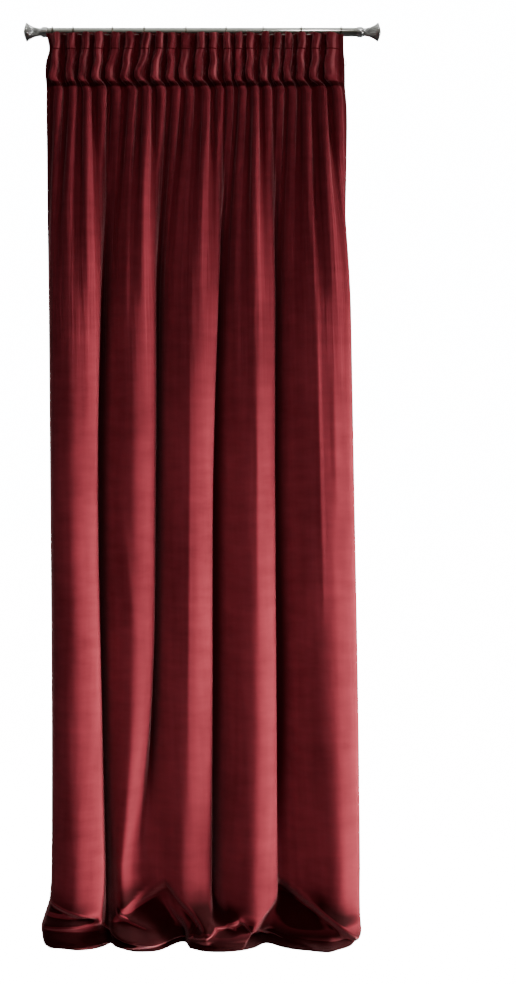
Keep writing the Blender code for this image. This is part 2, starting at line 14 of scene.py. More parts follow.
import bmesh
import bpy
import numpy as np
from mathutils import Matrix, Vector


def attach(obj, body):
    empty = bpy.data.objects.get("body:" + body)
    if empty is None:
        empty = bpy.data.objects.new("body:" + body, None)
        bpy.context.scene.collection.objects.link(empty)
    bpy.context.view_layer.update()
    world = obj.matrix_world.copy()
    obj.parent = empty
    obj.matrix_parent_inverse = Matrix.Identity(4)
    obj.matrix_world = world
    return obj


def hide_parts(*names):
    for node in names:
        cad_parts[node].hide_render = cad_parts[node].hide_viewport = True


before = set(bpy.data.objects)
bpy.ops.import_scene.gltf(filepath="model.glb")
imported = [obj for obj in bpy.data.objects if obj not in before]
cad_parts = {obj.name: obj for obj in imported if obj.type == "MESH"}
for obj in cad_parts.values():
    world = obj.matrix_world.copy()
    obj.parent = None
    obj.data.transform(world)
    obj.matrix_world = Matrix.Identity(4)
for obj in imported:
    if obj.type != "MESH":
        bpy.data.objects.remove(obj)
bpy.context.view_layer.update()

# %% [markdown]
# ## Sizes
#
# Everything below is worked out from the cloth as it was cut and from a few places on the rod. The
# rod's axis is the origin, X runs along it to the right, and the viewer stands at -Y. A distance
# called down is measured along the cloth from its top edge.

# %% Named sizes
CLOTH_WIDTH = 1.40
CLOTH_LENGTH = 2.70
CLOTH_THICK = 0.002
CLOTH_TOP = -0.012
FLOOR = -2.585

ROD_RADIUS = 0.0125
ROD_HALF = 0.440
RING_INSIDE = 0.0160
RING_WIRE = 0.0018
EYE_RADIUS = 0.0035
EYE_WIRE = 0.001
HOOK_WIRE = 0.0009
HOOK_ROWS = (0.062, 0.084)
SEAT_GAP = 0.0003

CLOTH_LEFT = -0.4425
PLEATS_LEFT = -0.4325
CLOTH_RIGHT = 0.4020
RING_PLACES = (-0.4270, -0.3680, -0.2560, -0.1655, -0.0465, 0.0680, 0.1735, 0.2820, 0.3955)
SIDE_HEM = 0.014

HEADING_BACK = 0.0235
PLEAT_DEPTH = 0.024
PLEAT_DEEPEST = PLEAT_DEPTH * 1.3
PLEAT_ROUNDING = 0.40
PLEAT_SNAKE = (0.0024, 0.074)
SNAKE_STEP = 2.4
SNAKE_BEGINS = (0.0, 0.03)
SNAKE_ENDS = (0.13, 0.22)
PLEATS_SETTLE = 0.12
TAPE_ROWS = (0.043, 0.080, 0.116)
TAPE_THICK = 0.001
TAPE_GAP = 0.0008
TAPE_CORNER = 0.0008

# %% [markdown]
# ## The pleats
#
# A heading tape makes pleats of one size, but a hand has dressed these, so each one leans and fades
# in its own way. A row for each pleat keeps that unevenness readable. A wave for the whole heading
# would be shorter, but it would look like corrugated card.

# %% The heading and its pleats
SIDES = (
    # down, left edge outwards, right edge outwards
    (0.000, 0.000, -0.001),
    (0.043, -0.008, -0.001),
    (0.080, 0.001, 0.002),
    (0.125, 0.002, 0.003),
    (0.143, 0.000, 0.003),
    (0.200, 0.000, 0.008),
    (0.350, -0.001, 0.012),
    (0.800, 0.000, 0.016),
)
HEADING = (
    # down, fullness, towards the tips, towards the places below
    (0.000, 1.12, 0.00, 0.0),
    (0.022, 1.00, 0.10, 0.0),
    (0.043, 0.66, 0.25, 0.0),
    (0.080, 0.92, 0.60, 0.0),
    (0.116, 1.15, 0.95, 0.0),
    (0.132, 1.12, 1.00, 0.1),
    (0.141, 0.55, 1.00, 0.6),
    (0.160, 0.80, 1.00, 1.0),
)
PLEATS = (
    # crest at the top, at its tip, below the heading, depth, run
    (-0.414, -0.425, -0.405, 1.00, 0.45),
    (-0.371, -0.374, -0.363, 0.90, 0.60),
    (-0.328, -0.346, -0.324, 0.95, 0.75),
    (-0.294, -0.303, -0.280, 1.15, 0.50),
    (-0.243, -0.269, -0.240, 0.95, 0.35),
    (-0.206, -0.223, -0.194, 1.00, 0.42),
    (-0.155, -0.183, -0.152, 1.05, 0.70),
    (-0.120, -0.140, -0.112, 1.15, 0.55),
    (-0.089, -0.092, -0.069, 1.00, 0.40),
    (-0.049, -0.061, -0.032, 0.90, 0.32),
    (-0.004, -0.015, 0.016, 1.10, 0.45),
    (0.028, 0.028, 0.053, 1.15, 0.65),
    (0.068, 0.071, 0.082, 0.85, 0.75),
    (0.102, 0.099, 0.118, 0.95, 0.50),
    (0.133, 0.130, 0.153, 1.05, 0.80),
    (0.179, 0.170, 0.190, 1.00, 0.45),
    (0.213, 0.204, 0.224, 0.95, 0.70),
    (0.242, 0.236, 0.259, 0.90, 0.40),
    (0.279, 0.273, 0.299, 1.10, 0.55),
    (0.321, 0.310, 0.344, 1.05, 0.72),
    (0.361, 0.353, 0.384, 1.10, 0.60),
)
PLEAT_COUNT = len(PLEATS)
print(PLEAT_COUNT, "pleats, about", round(1000 * (CLOTH_RIGHT - PLEATS_LEFT) / PLEAT_COUNT), "mm apart")

# %% [markdown]
# ## The large folds
#
# Below the heading the cloth finds its own way. Five deep folds form, and each leans to the right
# like a wave about to break: a long face, a rounded crest, and a short return that stays hidden. A
# table gives four places on each fold at four heights, and a smooth curve runs through them.

# %% The folds and the toe on the floor
FOLDS = {
    # distance down: rows of valley, foot, shoulder, crest, depth, reach of the valley
    0.466: (
        (-0.440, -0.428, -0.370, -0.283, 0.060, 0.00),
        (-0.280, -0.243, -0.188, -0.137, 0.055, 0.00),
        (-0.131, -0.092, -0.012, 0.053, 0.058, 0.00),
        (0.046, 0.089, 0.154, 0.203, 0.055, 0.00),
        (0.201, 0.240, 0.340, 0.412, 0.060, 0.00),
    ),
    1.240: (
        (-0.434, -0.420, -0.376, -0.298, 0.086, 0.00),
        (-0.301, -0.256, -0.182, -0.136, 0.082, 0.00),
        (-0.136, -0.100, -0.020, 0.027, 0.088, 0.00),
        (0.022, 0.074, 0.164, 0.201, 0.084, 0.00),
        (0.198, 0.246, 0.366, 0.426, 0.092, 0.00),
    ),
    1.940: (
        (-0.429, -0.414, -0.362, -0.287, 0.090, 0.00),
        (-0.287, -0.254, -0.190, -0.152, 0.080, 0.00),
        (-0.144, -0.114, -0.024, 0.024, 0.086, 0.10),
        (0.024, 0.074, 0.164, 0.204, 0.092, 0.00),
        (0.206, 0.266, 0.390, 0.438, 0.094, 0.00),
    ),
    2.350: (
        (-0.429, -0.418, -0.350, -0.280, 0.090, 0.00),
        (-0.274, -0.250, -0.228, -0.196, 0.068, 0.00),
        (-0.162, -0.132, -0.050, 0.021, 0.078, 0.58),
        (0.024, 0.062, 0.156, 0.206, 0.092, 0.00),
        (0.214, 0.278, 0.398, 0.440, 0.094, 0.34),
    ),
}
FOLD_REACH = (0.60, 1.0, 0.76)
SIDE_TURN = (-0.012, 0.30)
FOLDS_BACK = 0.030
FOLDS_BEGIN = 0.150
FOLDS_FULL = 0.800
FOLDS_ONSET = 0.75
FOLD_DEEPENING = (0.5, 2.0)
RETURN_BLEND = 0.03

TOE = (
    # across, forward of valley, foot, shoulder, crest
    ((-0.444, 0.034), (-0.432, 0.078), (-0.354, 0.106), (-0.292, 0.084)),
    ((-0.258, 0.044), (-0.238, 0.082), (-0.214, 0.110), (-0.178, 0.124)),
    ((-0.122, 0.112), (-0.074, 0.046), (-0.032, 0.094), (0.008, 0.122)),
    ((0.048, 0.128), (0.094, 0.120), (0.150, 0.088), (0.190, 0.046)),
    ((0.236, 0.088), (0.320, 0.120), (0.392, 0.104), (0.426, 0.068)),
)
TOE_SIDE = (0.436, 0.020)
TOE_SPREAD = 0.9

# %% [markdown]
# ## The break on the floor
#
# The cloth is longer than the drop, so the last of it spreads forward, buckles, and tucks back under
# itself to its hem. One profile takes it down, and a list of soft dents and rolls gives the arches and the
# stacked rolls. A simulation would give some break, but not the one in the picture.

# %% The break, its dents and the long creases
BREAK = (
    # down, height over the floor, share of the toe's outline, forward, sideways, outline's depth
    (2.350, 0.2260, 0.00, 0.000, 0.000, 1.00),
    (2.420, 0.1570, 0.10, 0.004, 0.000, 1.00),
    (2.470, 0.1090, 0.32, 0.012, 0.004, 1.00),
    (2.505, 0.0760, 0.66, 0.021, 0.007, 1.00),
    (2.535, 0.0480, 0.94, 0.020, 0.009, 1.00),
    (2.560, 0.0260, 1.00, 0.008, 0.007, 1.00),
    (2.580, 0.0105, 1.00, -0.006, 0.004, 1.00),
    (2.600, 0.0030, 1.00, -0.024, 0.000, 0.98),
    (2.625, 0.0014, 1.00, -0.034, 0.000, 0.80),
    (2.660, 0.0014, 1.00, -0.040, 0.000, 0.60),
    (CLOTH_LENGTH, 0.0014, 1.00, -0.045, 0.000, 0.35),
)
ARCHES = (
    # across, down, slope to the left, slope to the right, back, over, end, closing
    (-0.010, 2.424, 0.50, 0.26, 0.044, 0.026, 2.575, 0.0),
    (0.400, 2.386, 0.56, 0.90, 0.044, 0.040, 2.575, 0.26),
    (0.640, 2.488, 0.16, 0.60, 0.034, 0.026, 2.600, 0.0),
    (0.772, 2.380, 1.00, 0.62, 0.064, 0.050, 2.600, 0.0),
)
LIP_SOFT = 0.035
BUCKLES = (
    # across, down, half width, half height, forward
    (0.150, 2.500, 0.022, 0.016, -0.016),
    (0.070, 2.540, 0.100, 0.014, 0.012),
    (0.240, 2.535, 0.050, 0.016, 0.012),
    (0.405, 2.480, 0.016, 0.036, 0.010),
    (0.500, 2.545, 0.026, 0.020, 0.010),
    (0.575, 2.520, 0.030, 0.014, -0.018),
    (0.660, 2.505, 0.026, 0.018, -0.022),
    (0.715, 2.530, 0.022, 0.018, 0.014),
    (0.860, 2.480, 0.022, 0.050, 0.010),
)

# Narrow rolls round the foot: the cloth stacks up there, and each roll catches a line of light.
ROLLS = (
    # from across, down, to across, down, sag, half height, forward
    (-0.02, 2.476, 0.150, 2.486, 0.002, 0.005, 0.005),
    (-0.04, 2.499, 0.170, 2.495, 0.004, 0.008, -0.010),
    (-0.04, 2.520, 0.190, 2.502, 0.004, 0.009, 0.014),
    (0.130, 2.506, 0.350, 2.558, -0.008, 0.008, 0.013),
    (-0.04, 2.534, 0.220, 2.534, 0.000, 0.007, -0.010),
    (0.030, 2.550, 0.330, 2.590, -0.006, 0.008, 0.012),
    (0.030, 2.594, 0.085, 2.572, 0.000, 0.005, 0.006),
    (0.085, 2.574, 0.135, 2.596, 0.000, 0.005, 0.006),
    (0.125, 2.598, 0.190, 2.582, 0.000, 0.005, 0.005),
    (0.285, 2.470, 0.360, 2.532, 0.000, 0.008, 0.014),
    (0.335, 2.530, 0.475, 2.502, 0.044, 0.009, 0.015),
    (0.500, 2.540, 0.545, 2.512, 0.000, 0.007, 0.008),
    (0.505, 2.494, 0.620, 2.518, 0.003, 0.007, 0.008),
    (0.520, 2.566, 0.690, 2.574, 0.004, 0.008, 0.007),
    (0.705, 2.545, 0.825, 2.588, 0.000, 0.006, 0.009),
    (0.810, 2.596, 0.950, 2.572, 0.008, 0.006, 0.007),
)

# Long soft ridges that the pleats leave on the faces of the folds.
CREASES = (
    # start down, start across, end down, end across, half width, forward
    (0.20, -0.357, 0.80, -0.338, 0.010, 0.005),
    (0.20, -0.194, 0.95, -0.226, 0.010, 0.006),
    (1.25, -0.241, 1.66, -0.192, 0.012, 0.004),
    (0.62, -0.032, 2.20, -0.042, 0.005, 0.0025),
    (0.20, 0.019, 0.48, 0.019, 0.008, 0.005),
    (0.38, 0.090, 1.12, 0.099, 0.010, 0.005),
    (0.88, 0.153, 1.66, 0.155, 0.005, 0.002),
    (0.26, 0.304, 1.65, 0.340, 0.006, 0.004),
    (0.95, 0.366, 1.35, 0.376, 0.009, 0.003),
    (1.70, -0.385, 2.35, -0.372, 0.012, 0.003),
    (1.50, 0.100, 2.30, 0.120, 0.016, 0.003),
)
TOP_WAVE = 0.0016

# %% [markdown]
# ## From tables to cloth
#
# The cloth can't stretch, so each level of the folds is made deeper or flatter until the curve is
# as long as the cloth is wide. After that, a share of the cloth's width means the same thread at
# every height, and the pattern of the pile can follow it.

# %% Smooth curves
DENSE = 600


def spline(places, values, at):
    """A smooth curve through values at rising places, level past its ends, read at the places at."""
    places, values, at = (np.asarray(x, float) for x in (places, values, at))
    slopes = np.gradient(values, places, axis=0)
    i = np.clip(np.searchsorted(places, at, side="right") - 1, 0, len(places) - 2)
    gap = places[i + 1] - places[i]
    t = np.clip((at - places[i]) / gap, 0, 1)
    if values.ndim > 1:
        gap, t = gap[:, None], t[:, None]
    start = (1 + 2 * t) * (1 - t) ** 2 * values[i] + t * (1 - t) ** 2 * gap * slopes[i]
    end = t * t * (3 - 2 * t) * values[i + 1] + t * t * (t - 1) * gap * slopes[i + 1]
    return start + end


def read_table(table, down):
    """A table's other columns at a distance down, which is its first column."""
    table = np.array(table)
    return spline(table[:, 0], table[:, 1:], [down])[0]


def ease(value, start, end):
    """0 before start and 1 after end, smooth between them."""
    t = np.clip((value - start) / (end - start), 0, 1)
    return t * t * (3 - 2 * t)


def length_along(points):
    """How far along the line through the points each of them is."""
    steps = np.linalg.norm(np.diff(points, axis=0), axis=1)
    return np.concatenate([[0], np.cumsum(steps)])


def fitted(drawn, low, high, halvings):
    """The depth between low and high at which the line drawn(depth) is as long as the cloth."""
    for _ in range(halvings):
        depth = (low + high) / 2
        if length_along(drawn(depth))[-1] < CLOTH_WIDTH:
            low = depth
        else:
            high = depth
    return depth


def fold_knots(down):
    """The folds' valleys, feet, shoulders and crests as (across, forward) points."""
    levels = sorted(FOLDS)
    rows = spline(levels, [np.ravel(FOLDS[level]) for level in levels], [down])[0].reshape(-1, 6)
    knots = [(x, row[4] * reach) for row in rows for x, reach in zip(row[:4], (row[5], *FOLD_REACH))]
    inset, reach = SIDE_TURN
    knots.append((rows[-1][3] + inset, rows[-1][4] * reach))
    return np.array(knots)


def fold_section(down):
    """The folds' section as (across, forward) points, and each point's share of the cloth."""
    knots = fold_knots(down)

    def drawn(deeper):
        scaled = knots * (1, deeper)
        along = length_along(scaled)
        return spline(along, scaled, np.linspace(0, 1, DENSE) * along[-1])

    points = drawn(fitted(drawn, *FOLD_DEEPENING, halvings=24))
    points[:, 1] -= FOLDS_BACK
    return points, length_along(points) / length_along(points)[-1]


def corner_shares(down):
    """Where the valleys and crests of the large folds lie, by turns, as shares of the cloth."""
    knots = fold_knots(down)
    along = length_along(knots) / length_along(knots)[-1]
    _, share = fold_section(down)
    corners = np.interp(along, np.linspace(0, 1, DENSE), share)
    return [corners[k] for k in range(len(corners)) if k % 4 in (0, 3)]


def off_returns(across_cloth, down):
    """1 on the folds' faces and 0 where the cloth turns back from a crest to the next valley."""
    corners = corner_shares(down)
    off = np.ones(len(across_cloth))
    for crest, valley in zip(corners[1::2], corners[2::2]):
        beyond = np.abs(across_cloth - (crest + valley) / 2) - (valley - crest) / 2
        off *= ease(beyond, 0.0, RETURN_BLEND)
    return off


def toe_section():
    """The outline of the cloth's end on the floor, with its points spread as on the folds."""
    knots = np.array([place for row in TOE for place in row] + [TOE_SIDE])
    wall = fold_knots(max(FOLDS))
    steps = length_along(wall) / length_along(wall)[-1]
    return spline(steps, knots, np.linspace(0, 1, DENSE))


# %% The pleated heading
def side_shifts(down):
    """How far the left and the right side edge have gone outwards."""
    return read_table(SIDES, down)


def pleat_places(down):
    """Across the rod at a distance down: the pleats' valleys and their crests."""
    left, right = side_shifts(down)
    _, to_tips, to_below = read_table(HEADING, down)
    top, tip, below = np.array(PLEATS)[:, :3].T
    crests = (top * (1 - to_tips) + tip * to_tips) * (1 - to_below) + below * to_below
    settled = (top + tip + 2 * below) / 4
    half_way = (crests + settled) / 2
    between = (half_way[1:] + half_way[:-1]) / 2
    return np.concatenate([[PLEATS_LEFT - left], between, [CLOTH_RIGHT + right]]), crests


def pleated_line(across_cloth, down):
    """Each point's place along the heading, its angle in its pleat, the crest's lean and fullness."""
    in_hem = SIDE_HEM / CLOTH_WIDTH
    place = (across_cloth - in_hem) / (1 - in_hem) * PLEAT_COUNT
    which = np.clip(np.floor(place), 0, PLEAT_COUNT - 1).astype(int)
    part_way = np.clip(place - which, 0, 1)
    valleys, crests = pleat_places(down)
    across = valleys[which] + (valleys[which + 1] - valleys[which]) * part_way
    hem = CLOTH_LEFT - side_shifts(down)[0] + (PLEATS_LEFT - CLOTH_LEFT) * across_cloth / in_hem
    across = np.where(place < 0, hem, across)
    lean = (crests - (valleys[1:] + valleys[:-1]) / 2)[which]
    aside, wave = PLEAT_SNAKE
    near_tape = ease(down, *SNAKE_BEGINS) * (1 - ease(down, *SNAKE_ENDS))
    lean += aside * near_tape * np.sin(2 * math.pi * down / wave + SNAKE_STEP * which)
    table = np.array(PLEATS)[which]
    fading = np.exp(-((max(down - FOLDS_BEGIN, 0.0) / table[:, 4]) ** 2) * 2)
    return across, 2 * math.pi * part_way, lean, table[:, 3] * fading


def section(across_cloth, down):
    """Points (across, forward) of the hanging cloth for the shares across_cloth of its width."""
    points, share = fold_section(down)
    folds = np.stack([np.interp(across_cloth, share, points[:, k]) for k in (0, 1)], axis=1)
    across, angle, lean, full = pleated_line(across_cloth, down)
    line = np.stack([across, np.zeros(len(across))], axis=1)
    into_folds = float(ease(down, FOLDS_BEGIN, FOLDS_FULL)) ** FOLDS_ONSET
    base = line * (1 - into_folds) + folds * into_folds
    full = full * (1 - min(1, 2 * into_folds) * (1 - off_returns(across_cloth, down)))
    lean = lean * (1 - into_folds) ** 2
    pitch = (CLOTH_RIGHT - PLEATS_LEFT) / PLEAT_COUNT
    rounding = PLEAT_ROUNDING * pitch / (2 * math.pi) / PLEAT_DEPTH * (1 - into_folds)
    rise = (1 - np.cos(angle)) / 2

    def drawn(depth):
        across_by = full * depth * rounding * np.sin(2 * angle) + np.minimum(full, 1) * lean * rise
        return base + np.stack([across_by, full * depth * rise], axis=1)

    heading_end = HEADING[-1][0]
    start = PLEAT_DEPTH * read_table(HEADING, down)[0]
    if down <= heading_end:
        return drawn(start)
    depth = fitted(drawn, 0.0, PLEAT_DEEPEST, halvings=20)
    settled = ease(down, heading_end, heading_end + PLEATS_SETTLE)
    return drawn(start + (depth - start) * settled)


# %% Dents, rolls and creases
def buckled(across_cloth, down):
    """How far the dents and rolls of the break push each point forward."""
    push = np.zeros(len(across_cloth))
    for across, low, half_width, half_height, forward in BUCKLES:
        reach = ((across_cloth - across) / half_width) ** 2 + ((down - low) / half_height) ** 2
        push += forward * np.exp(-reach)
    return push


def rolled(across_cloth, down):
    """How far the narrow rolls of the foot lift each point."""
    push = np.zeros(len(across_cloth))
    for start, top, end, low, sag, half_height, forward in ROLLS:
        t = np.clip((across_cloth - start) / (end - start), 0, 1)
        middle = top + (low - top) * t + 4 * sag * t * (1 - t)
        fading = (4 * t * (1 - t)) ** 0.5
        push += forward * fading * np.exp(-(((down - middle) / half_height) ** 2))
    return push


def arched(across_cloth, down):
    """How far the cloth is turned in under the arches, each with a crisp edge."""
    push = np.zeros(len(across_cloth))
    for across, top, to_left, to_right, back, over, end, closing in ARCHES:
        aside = (across_cloth - across) * CLOTH_WIDTH
        below = down - top - np.where(aside < 0, -to_left, to_right) * aside
        lip = end - closing * np.abs(aside)
        push -= back * ease(below, 0.0, over) * (1 - ease(down - lip, -LIP_SOFT, 0.0))
    return push


def creased(across, down, faces):
    """How far the long creases lift each point of the faces."""
    push = np.zeros(len(across))
    for top, across_top, low, across_low, half_width, forward in CREASES:
        if not top < down < low:
            continue
        part_way = (down - top) / (low - top)
        middle = across_top + (across_low - across_top) * part_way
        fading = math.sin(math.pi * part_way) ** 0.7
        push += forward * fading * np.exp(-(((across - middle) / half_width) ** 2))
    return push * faces


def edge_wave(across_cloth):
    """The uneven top edge, from two waves that never fall in step."""
    turns = 2 * math.pi * across_cloth
    return np.sin(34 * turns) + 0.8 * np.sin(23 * turns + 1.0)


def cloth_row(across_cloth, down):
    """Points of the cloth's middle surface at a distance down it."""
    if down <= BREAK[0][0]:
        flat = section(across_cloth, down)
        height = np.full(len(flat), CLOTH_TOP - down)
        flat[:, 1] += creased(flat[:, 0], down, off_returns(across_cloth, down))
        height += TOP_WAVE * edge_wave(across_cloth) * (1 - ease(down, 0.0, TAPE_ROWS[0]))
    else:
        points, share = fold_section(down)
        over_floor, toe_share, forward, sideways, depth = read_table(BREAK, down)
        toe = toe_section() * (1 + TOE_SPREAD * forward, depth)
        mixed = (points * (1 - toe_share) + toe * toe_share) * (1 + sideways, 1)
        flat = np.stack([np.interp(across_cloth, share, mixed[:, k]) for k in (0, 1)], axis=1)
        flat[:, 1] += forward
        height = np.full(len(flat), FLOOR + max(over_floor, CLOTH_THICK / 2))
    flat[:, 1] += buckled(across_cloth, down) + arched(across_cloth, down) + rolled(across_cloth, down)
    return np.stack([flat[:, 0], -HEADING_BACK - flat[:, 1], height], axis=1)


# %% [markdown]
# ## Making a sheet
#
# A sheet of cloth is a grid of points, with a thickness given by Solidify. Its own map, in metres
# of cloth, goes with it, so the pile, the weave and the stitches follow the cloth round every fold.

# %% A sheet from rows of points
def sheet_piece(name, shares, downs, rows, thick):
    """A closed sheet from rows of points, with a map called cloth in metres of cloth."""
    mesh = bpy.data.meshes.new(name)
    count = len(shares)
    points = np.concatenate(rows)
    faces = [
        (r * count + c, (r + 1) * count + c, (r + 1) * count + c + 1, r * count + c + 1)
        for r in range(len(downs) - 1) for c in range(count - 1)
    ]
    mesh.from_pydata(points.tolist(), [], faces)
    spots = np.array([(share * CLOTH_WIDTH, -down) for down in downs for share in shares])
    corners = np.zeros(len(mesh.loops), int)
    mesh.loops.foreach_get("vertex_index", corners)
    mesh.uv_layers.new(name="cloth").data.foreach_set("uv", spots[corners].ravel())
    piece = bpy.data.objects.new(name, mesh)
    bpy.context.scene.collection.objects.link(piece)
    choose(piece)
    bpy.ops.object.shade_smooth()
    solid = piece.modifiers.new("thickness", "SOLIDIFY")
    solid.thickness = thick
    solid.offset = 0
    solid.use_even_offset = True
    solid.thickness_clamp = 1.0
    solid.material_offset = 1  # the side at the back takes the next material
    bpy.ops.object.modifier_apply(modifier=solid.name)
    print(name, len(piece.data.polygons), "faces")
    return piece


def choose(*pieces):
    """Select only these pieces, the last of them active."""
    bpy.ops.object.select_all(action="DESELECT")
    for piece in pieces:
        piece.select_set(True)
    bpy.context.view_layer.objects.active = pieces[-1]


# %% [markdown]
# ## The velvet panel
#
# The panel has its points where its form changes fastest: in the heading, and in the break above the
# floor. Between them a fold changes slowly, and rows 53 mm apart are enough. Each point also keeps how far
# it faces up, which the colour uses to paint shade where the cloth slopes over the floor and highlights on
# the edges that roll under.

# %% The velvet panel
def stretches(*parts):
    """Rising places from (start, end, count) stretches, each place once."""
    return np.unique(np.round(np.concatenate([np.linspace(*part) for part in parts]), 6))


panel_shares = np.linspace(0, 1, 253)
panel_downs = stretches(
    (0, 0.17, 38), (0.17, 0.80, 32), (0.80, 2.34, 30),
    (2.34, 2.44, 10), (2.44, 2.61, 68), (2.61, CLOTH_LENGTH, 14),
)
panel_rows = [cloth_row(panel_shares, down) for down in panel_downs]
velvet_panel = sheet_piece("velvet_panel", panel_shares, panel_downs, panel_rows, CLOTH_THICK)
tilt = np.zeros(len(velvet_panel.data.vertices) * 3)
velvet_panel.data.vertices.foreach_get("normal", tilt)
upward = velvet_panel.data.attributes.new("upward", "FLOAT", "POINT")
upward.data.foreach_set("value", tilt[2::3].copy())
print("share of the cloth that faces up:", round(float((tilt[2::3] > 0.3).mean()), 3))
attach(velvet_panel, "root")
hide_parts("curtain_panel")

# %% [markdown]
# ## The gathering tape
#
# The tape is sewn flat to the velvet and gathered with it, so it lies in the same pleats, a little
# behind them. It is made from the velvet's own rows, set back square to the cloth.

# %% The gathering tape
TAPE_POINTS_PER_PLEAT = 12


def tape_row(shares, down, behind):
    """A row that lies behind the velvet at a distance down, square to it."""
    nudge = 0.001
    least_square = 0.6
    row = cloth_row(shares, down)
    downwards = cloth_row(shares, down + nudge) - cloth_row(shares, down - nudge)
    steps = np.diff(row, axis=0)
    sides = []
    for along in (np.concatenate([steps[:1], steps]), np.concatenate([steps, steps[-1:]])):
        side = np.cross(downwards, along)
        sides.append(side / np.linalg.norm(side, axis=1)[:, None])
    middle = sides[0] + sides[1]
    middle /= np.linalg.norm(middle, axis=1)[:, None]
    square = np.maximum((middle * sides[0]).sum(axis=1), least_square)
    return row - middle * (behind / square)[:, None]


tape_shares = np.linspace(SIDE_HEM / CLOTH_WIDTH, 1, PLEAT_COUNT * TAPE_POINTS_PER_PLEAT + 1)
tape_downs = np.linspace(TAPE_ROWS[0], TAPE_ROWS[-1], 12)
tape_behind = CLOTH_THICK / 2 + TAPE_GAP + TAPE_THICK / 2
tape_rows = [tape_row(tape_shares, down, tape_behind) for down in tape_downs]
gathering_tape = sheet_piece("gathering_tape", tape_shares, tape_downs, tape_rows, TAPE_THICK)
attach(gathering_tape, "root")
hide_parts("heading_tape")

# %% [markdown]
# ## The rod
#
# The rod is a plain tube. A cylinder is added at its size and laid along X, and its ends get a
# small bevel, because a perfectly sharp edge never catches the light.

# %% The rod
def settle(piece):
    """Put a piece's turn and place into its mesh, so that its object sits at the origin."""
    choose(piece)
    bpy.ops.object.transform_apply(location=True, rotation=True, scale=True)
    return piece


bpy.ops.mesh.primitive_cylinder_add(
    vertices=64, radius=ROD_RADIUS, depth=2 * ROD_HALF, location=(0, 0, 0), rotation=(0, math.pi / 2, 0)
)
rod_tube = settle(bpy.context.object)
rod_tube.name = "rod_tube"
rim = rod_tube.modifiers.new("rim", "BEVEL")
rim.width = 0.0008
rim.segments = 2
rim.limit_method = "ANGLE"
bpy.ops.object.modifier_apply(modifier=rim.name)
bpy.ops.object.shade_smooth_by_angle(angle=math.radians(40))
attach(rod_tube, "root")
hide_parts("rod")

# %% [markdown]
# ## The finials
#
# Each end piece is turned metal: a collar, a neck, and a trumpet that flares to a rim with a low
# cone on it. A disc is extruded along the axis and resized at each step, as on a lathe. Then every
# third line of the trumpet is drawn in, which makes the lengthwise grooves.

# %% The finials
FINIAL = (
    # out, radius
    (0.0000, 0.0130),
    (0.0012, 0.0143),
    (0.0026, 0.0148),
    (0.0140, 0.0148),
    (0.0156, 0.0140),
    (0.0180, 0.0120),
    (0.0205, 0.0113),
    (0.0250, 0.0115),
    (0.0300, 0.0124),
    (0.0360, 0.0138),
    (0.0410, 0.0156),
    (0.0460, 0.0178),
    (0.0510, 0.0204),
    (0.0550, 0.0230),
    (0.0572, 0.0252),
    (0.0590, 0.0261),
    (0.0606, 0.0262),
    (0.0618, 0.0252),
    (0.0628, 0.0225),
    (0.0652, 0.0160),
    (0.0672, 0.0100),
    (0.0684, 0.0050),
    (0.0689, 0.0012),
)
GROOVES = (0.0225, 0.0562)
GROOVE_SIDES = 72
GROOVE_EVERY = 3
GROOVE_DEEP = 0.91


def turn_faces_outwards(piece):
    choose(piece)
    bpy.ops.object.mode_set(mode="EDIT")
    bpy.ops.mesh.select_all(action="SELECT")
    bpy.ops.mesh.normals_make_consistent(inside=False)
    bpy.ops.object.mode_set(mode="OBJECT")


def turned_piece(name, outline, sides):
    """A piece turned about X: a disc at the outline's start, extruded and resized step by step."""
    bpy.ops.object.select_all(action="DESELECT")
    out, radius = outline[0]
    bpy.ops.mesh.primitive_circle_add(
        vertices=sides, radius=radius, fill_type="NGON", location=(out, 0, 0), rotation=(0, math.pi / 2, 0)
    )
    piece = settle(bpy.context.object)
    piece.name = name
    bpy.ops.object.mode_set(mode="EDIT")
    bpy.ops.mesh.select_all(action="SELECT")
    for (before, thin), (after, thick) in zip(outline, outline[1:]):
        bpy.ops.mesh.extrude_region_move(TRANSFORM_OT_translate={"value": (after - before, 0, 0)})
        bpy.ops.transform.resize(value=(1, thick / thin, thick / thin), center_override=(after, 0, 0))
    bpy.ops.object.mode_set(mode="OBJECT")
    turn_faces_outwards(piece)
    return piece


def draw_in_grooves(piece):
    """Pull every third line of the trumpet towards the axis."""
    start, end = GROOVES
    edit = bmesh.new()
    edit.from_mesh(piece.data)
    for vert in edit.verts:
        line = round(math.atan2(vert.co.y, vert.co.z) / (2 * math.pi / GROOVE_SIDES))
        if start < vert.co.x < end and line % GROOVE_EVERY == 0:
            vert.co.yz *= GROOVE_DEEP
    edit.to_mesh(piece.data)
    edit.free()


def finial_piece(name, side):
    """A finial on the rod's left end, side -1, or on its right end, side 1."""
    piece = turned_piece(name, FINIAL, GROOVE_SIDES)
    draw_in_grooves(piece)
    piece.location = (side * (ROD_HALF + SEAT_GAP), 0, 0)
    piece.scale = (side, 1, 1)
    turn_faces_outwards(settle(piece))
    bpy.ops.object.shade_smooth_by_angle(angle=math.radians(50))
    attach(piece, "root")
    return piece


left_finial = finial_piece("left_trumpet", -1)
right_finial = finial_piece("right_trumpet", 1)
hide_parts("finial_left")
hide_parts("finial_right")
print("finials:", len(left_finial.data.polygons), "faces each")

# %% [markdown]
# ## The rings
#
# A ring is a loop of round wire with a small eye welded under it. It hangs with its plane square to
# the rod, so the viewer sees it edge-on as a thin bright line. One is made and the rest are copies.

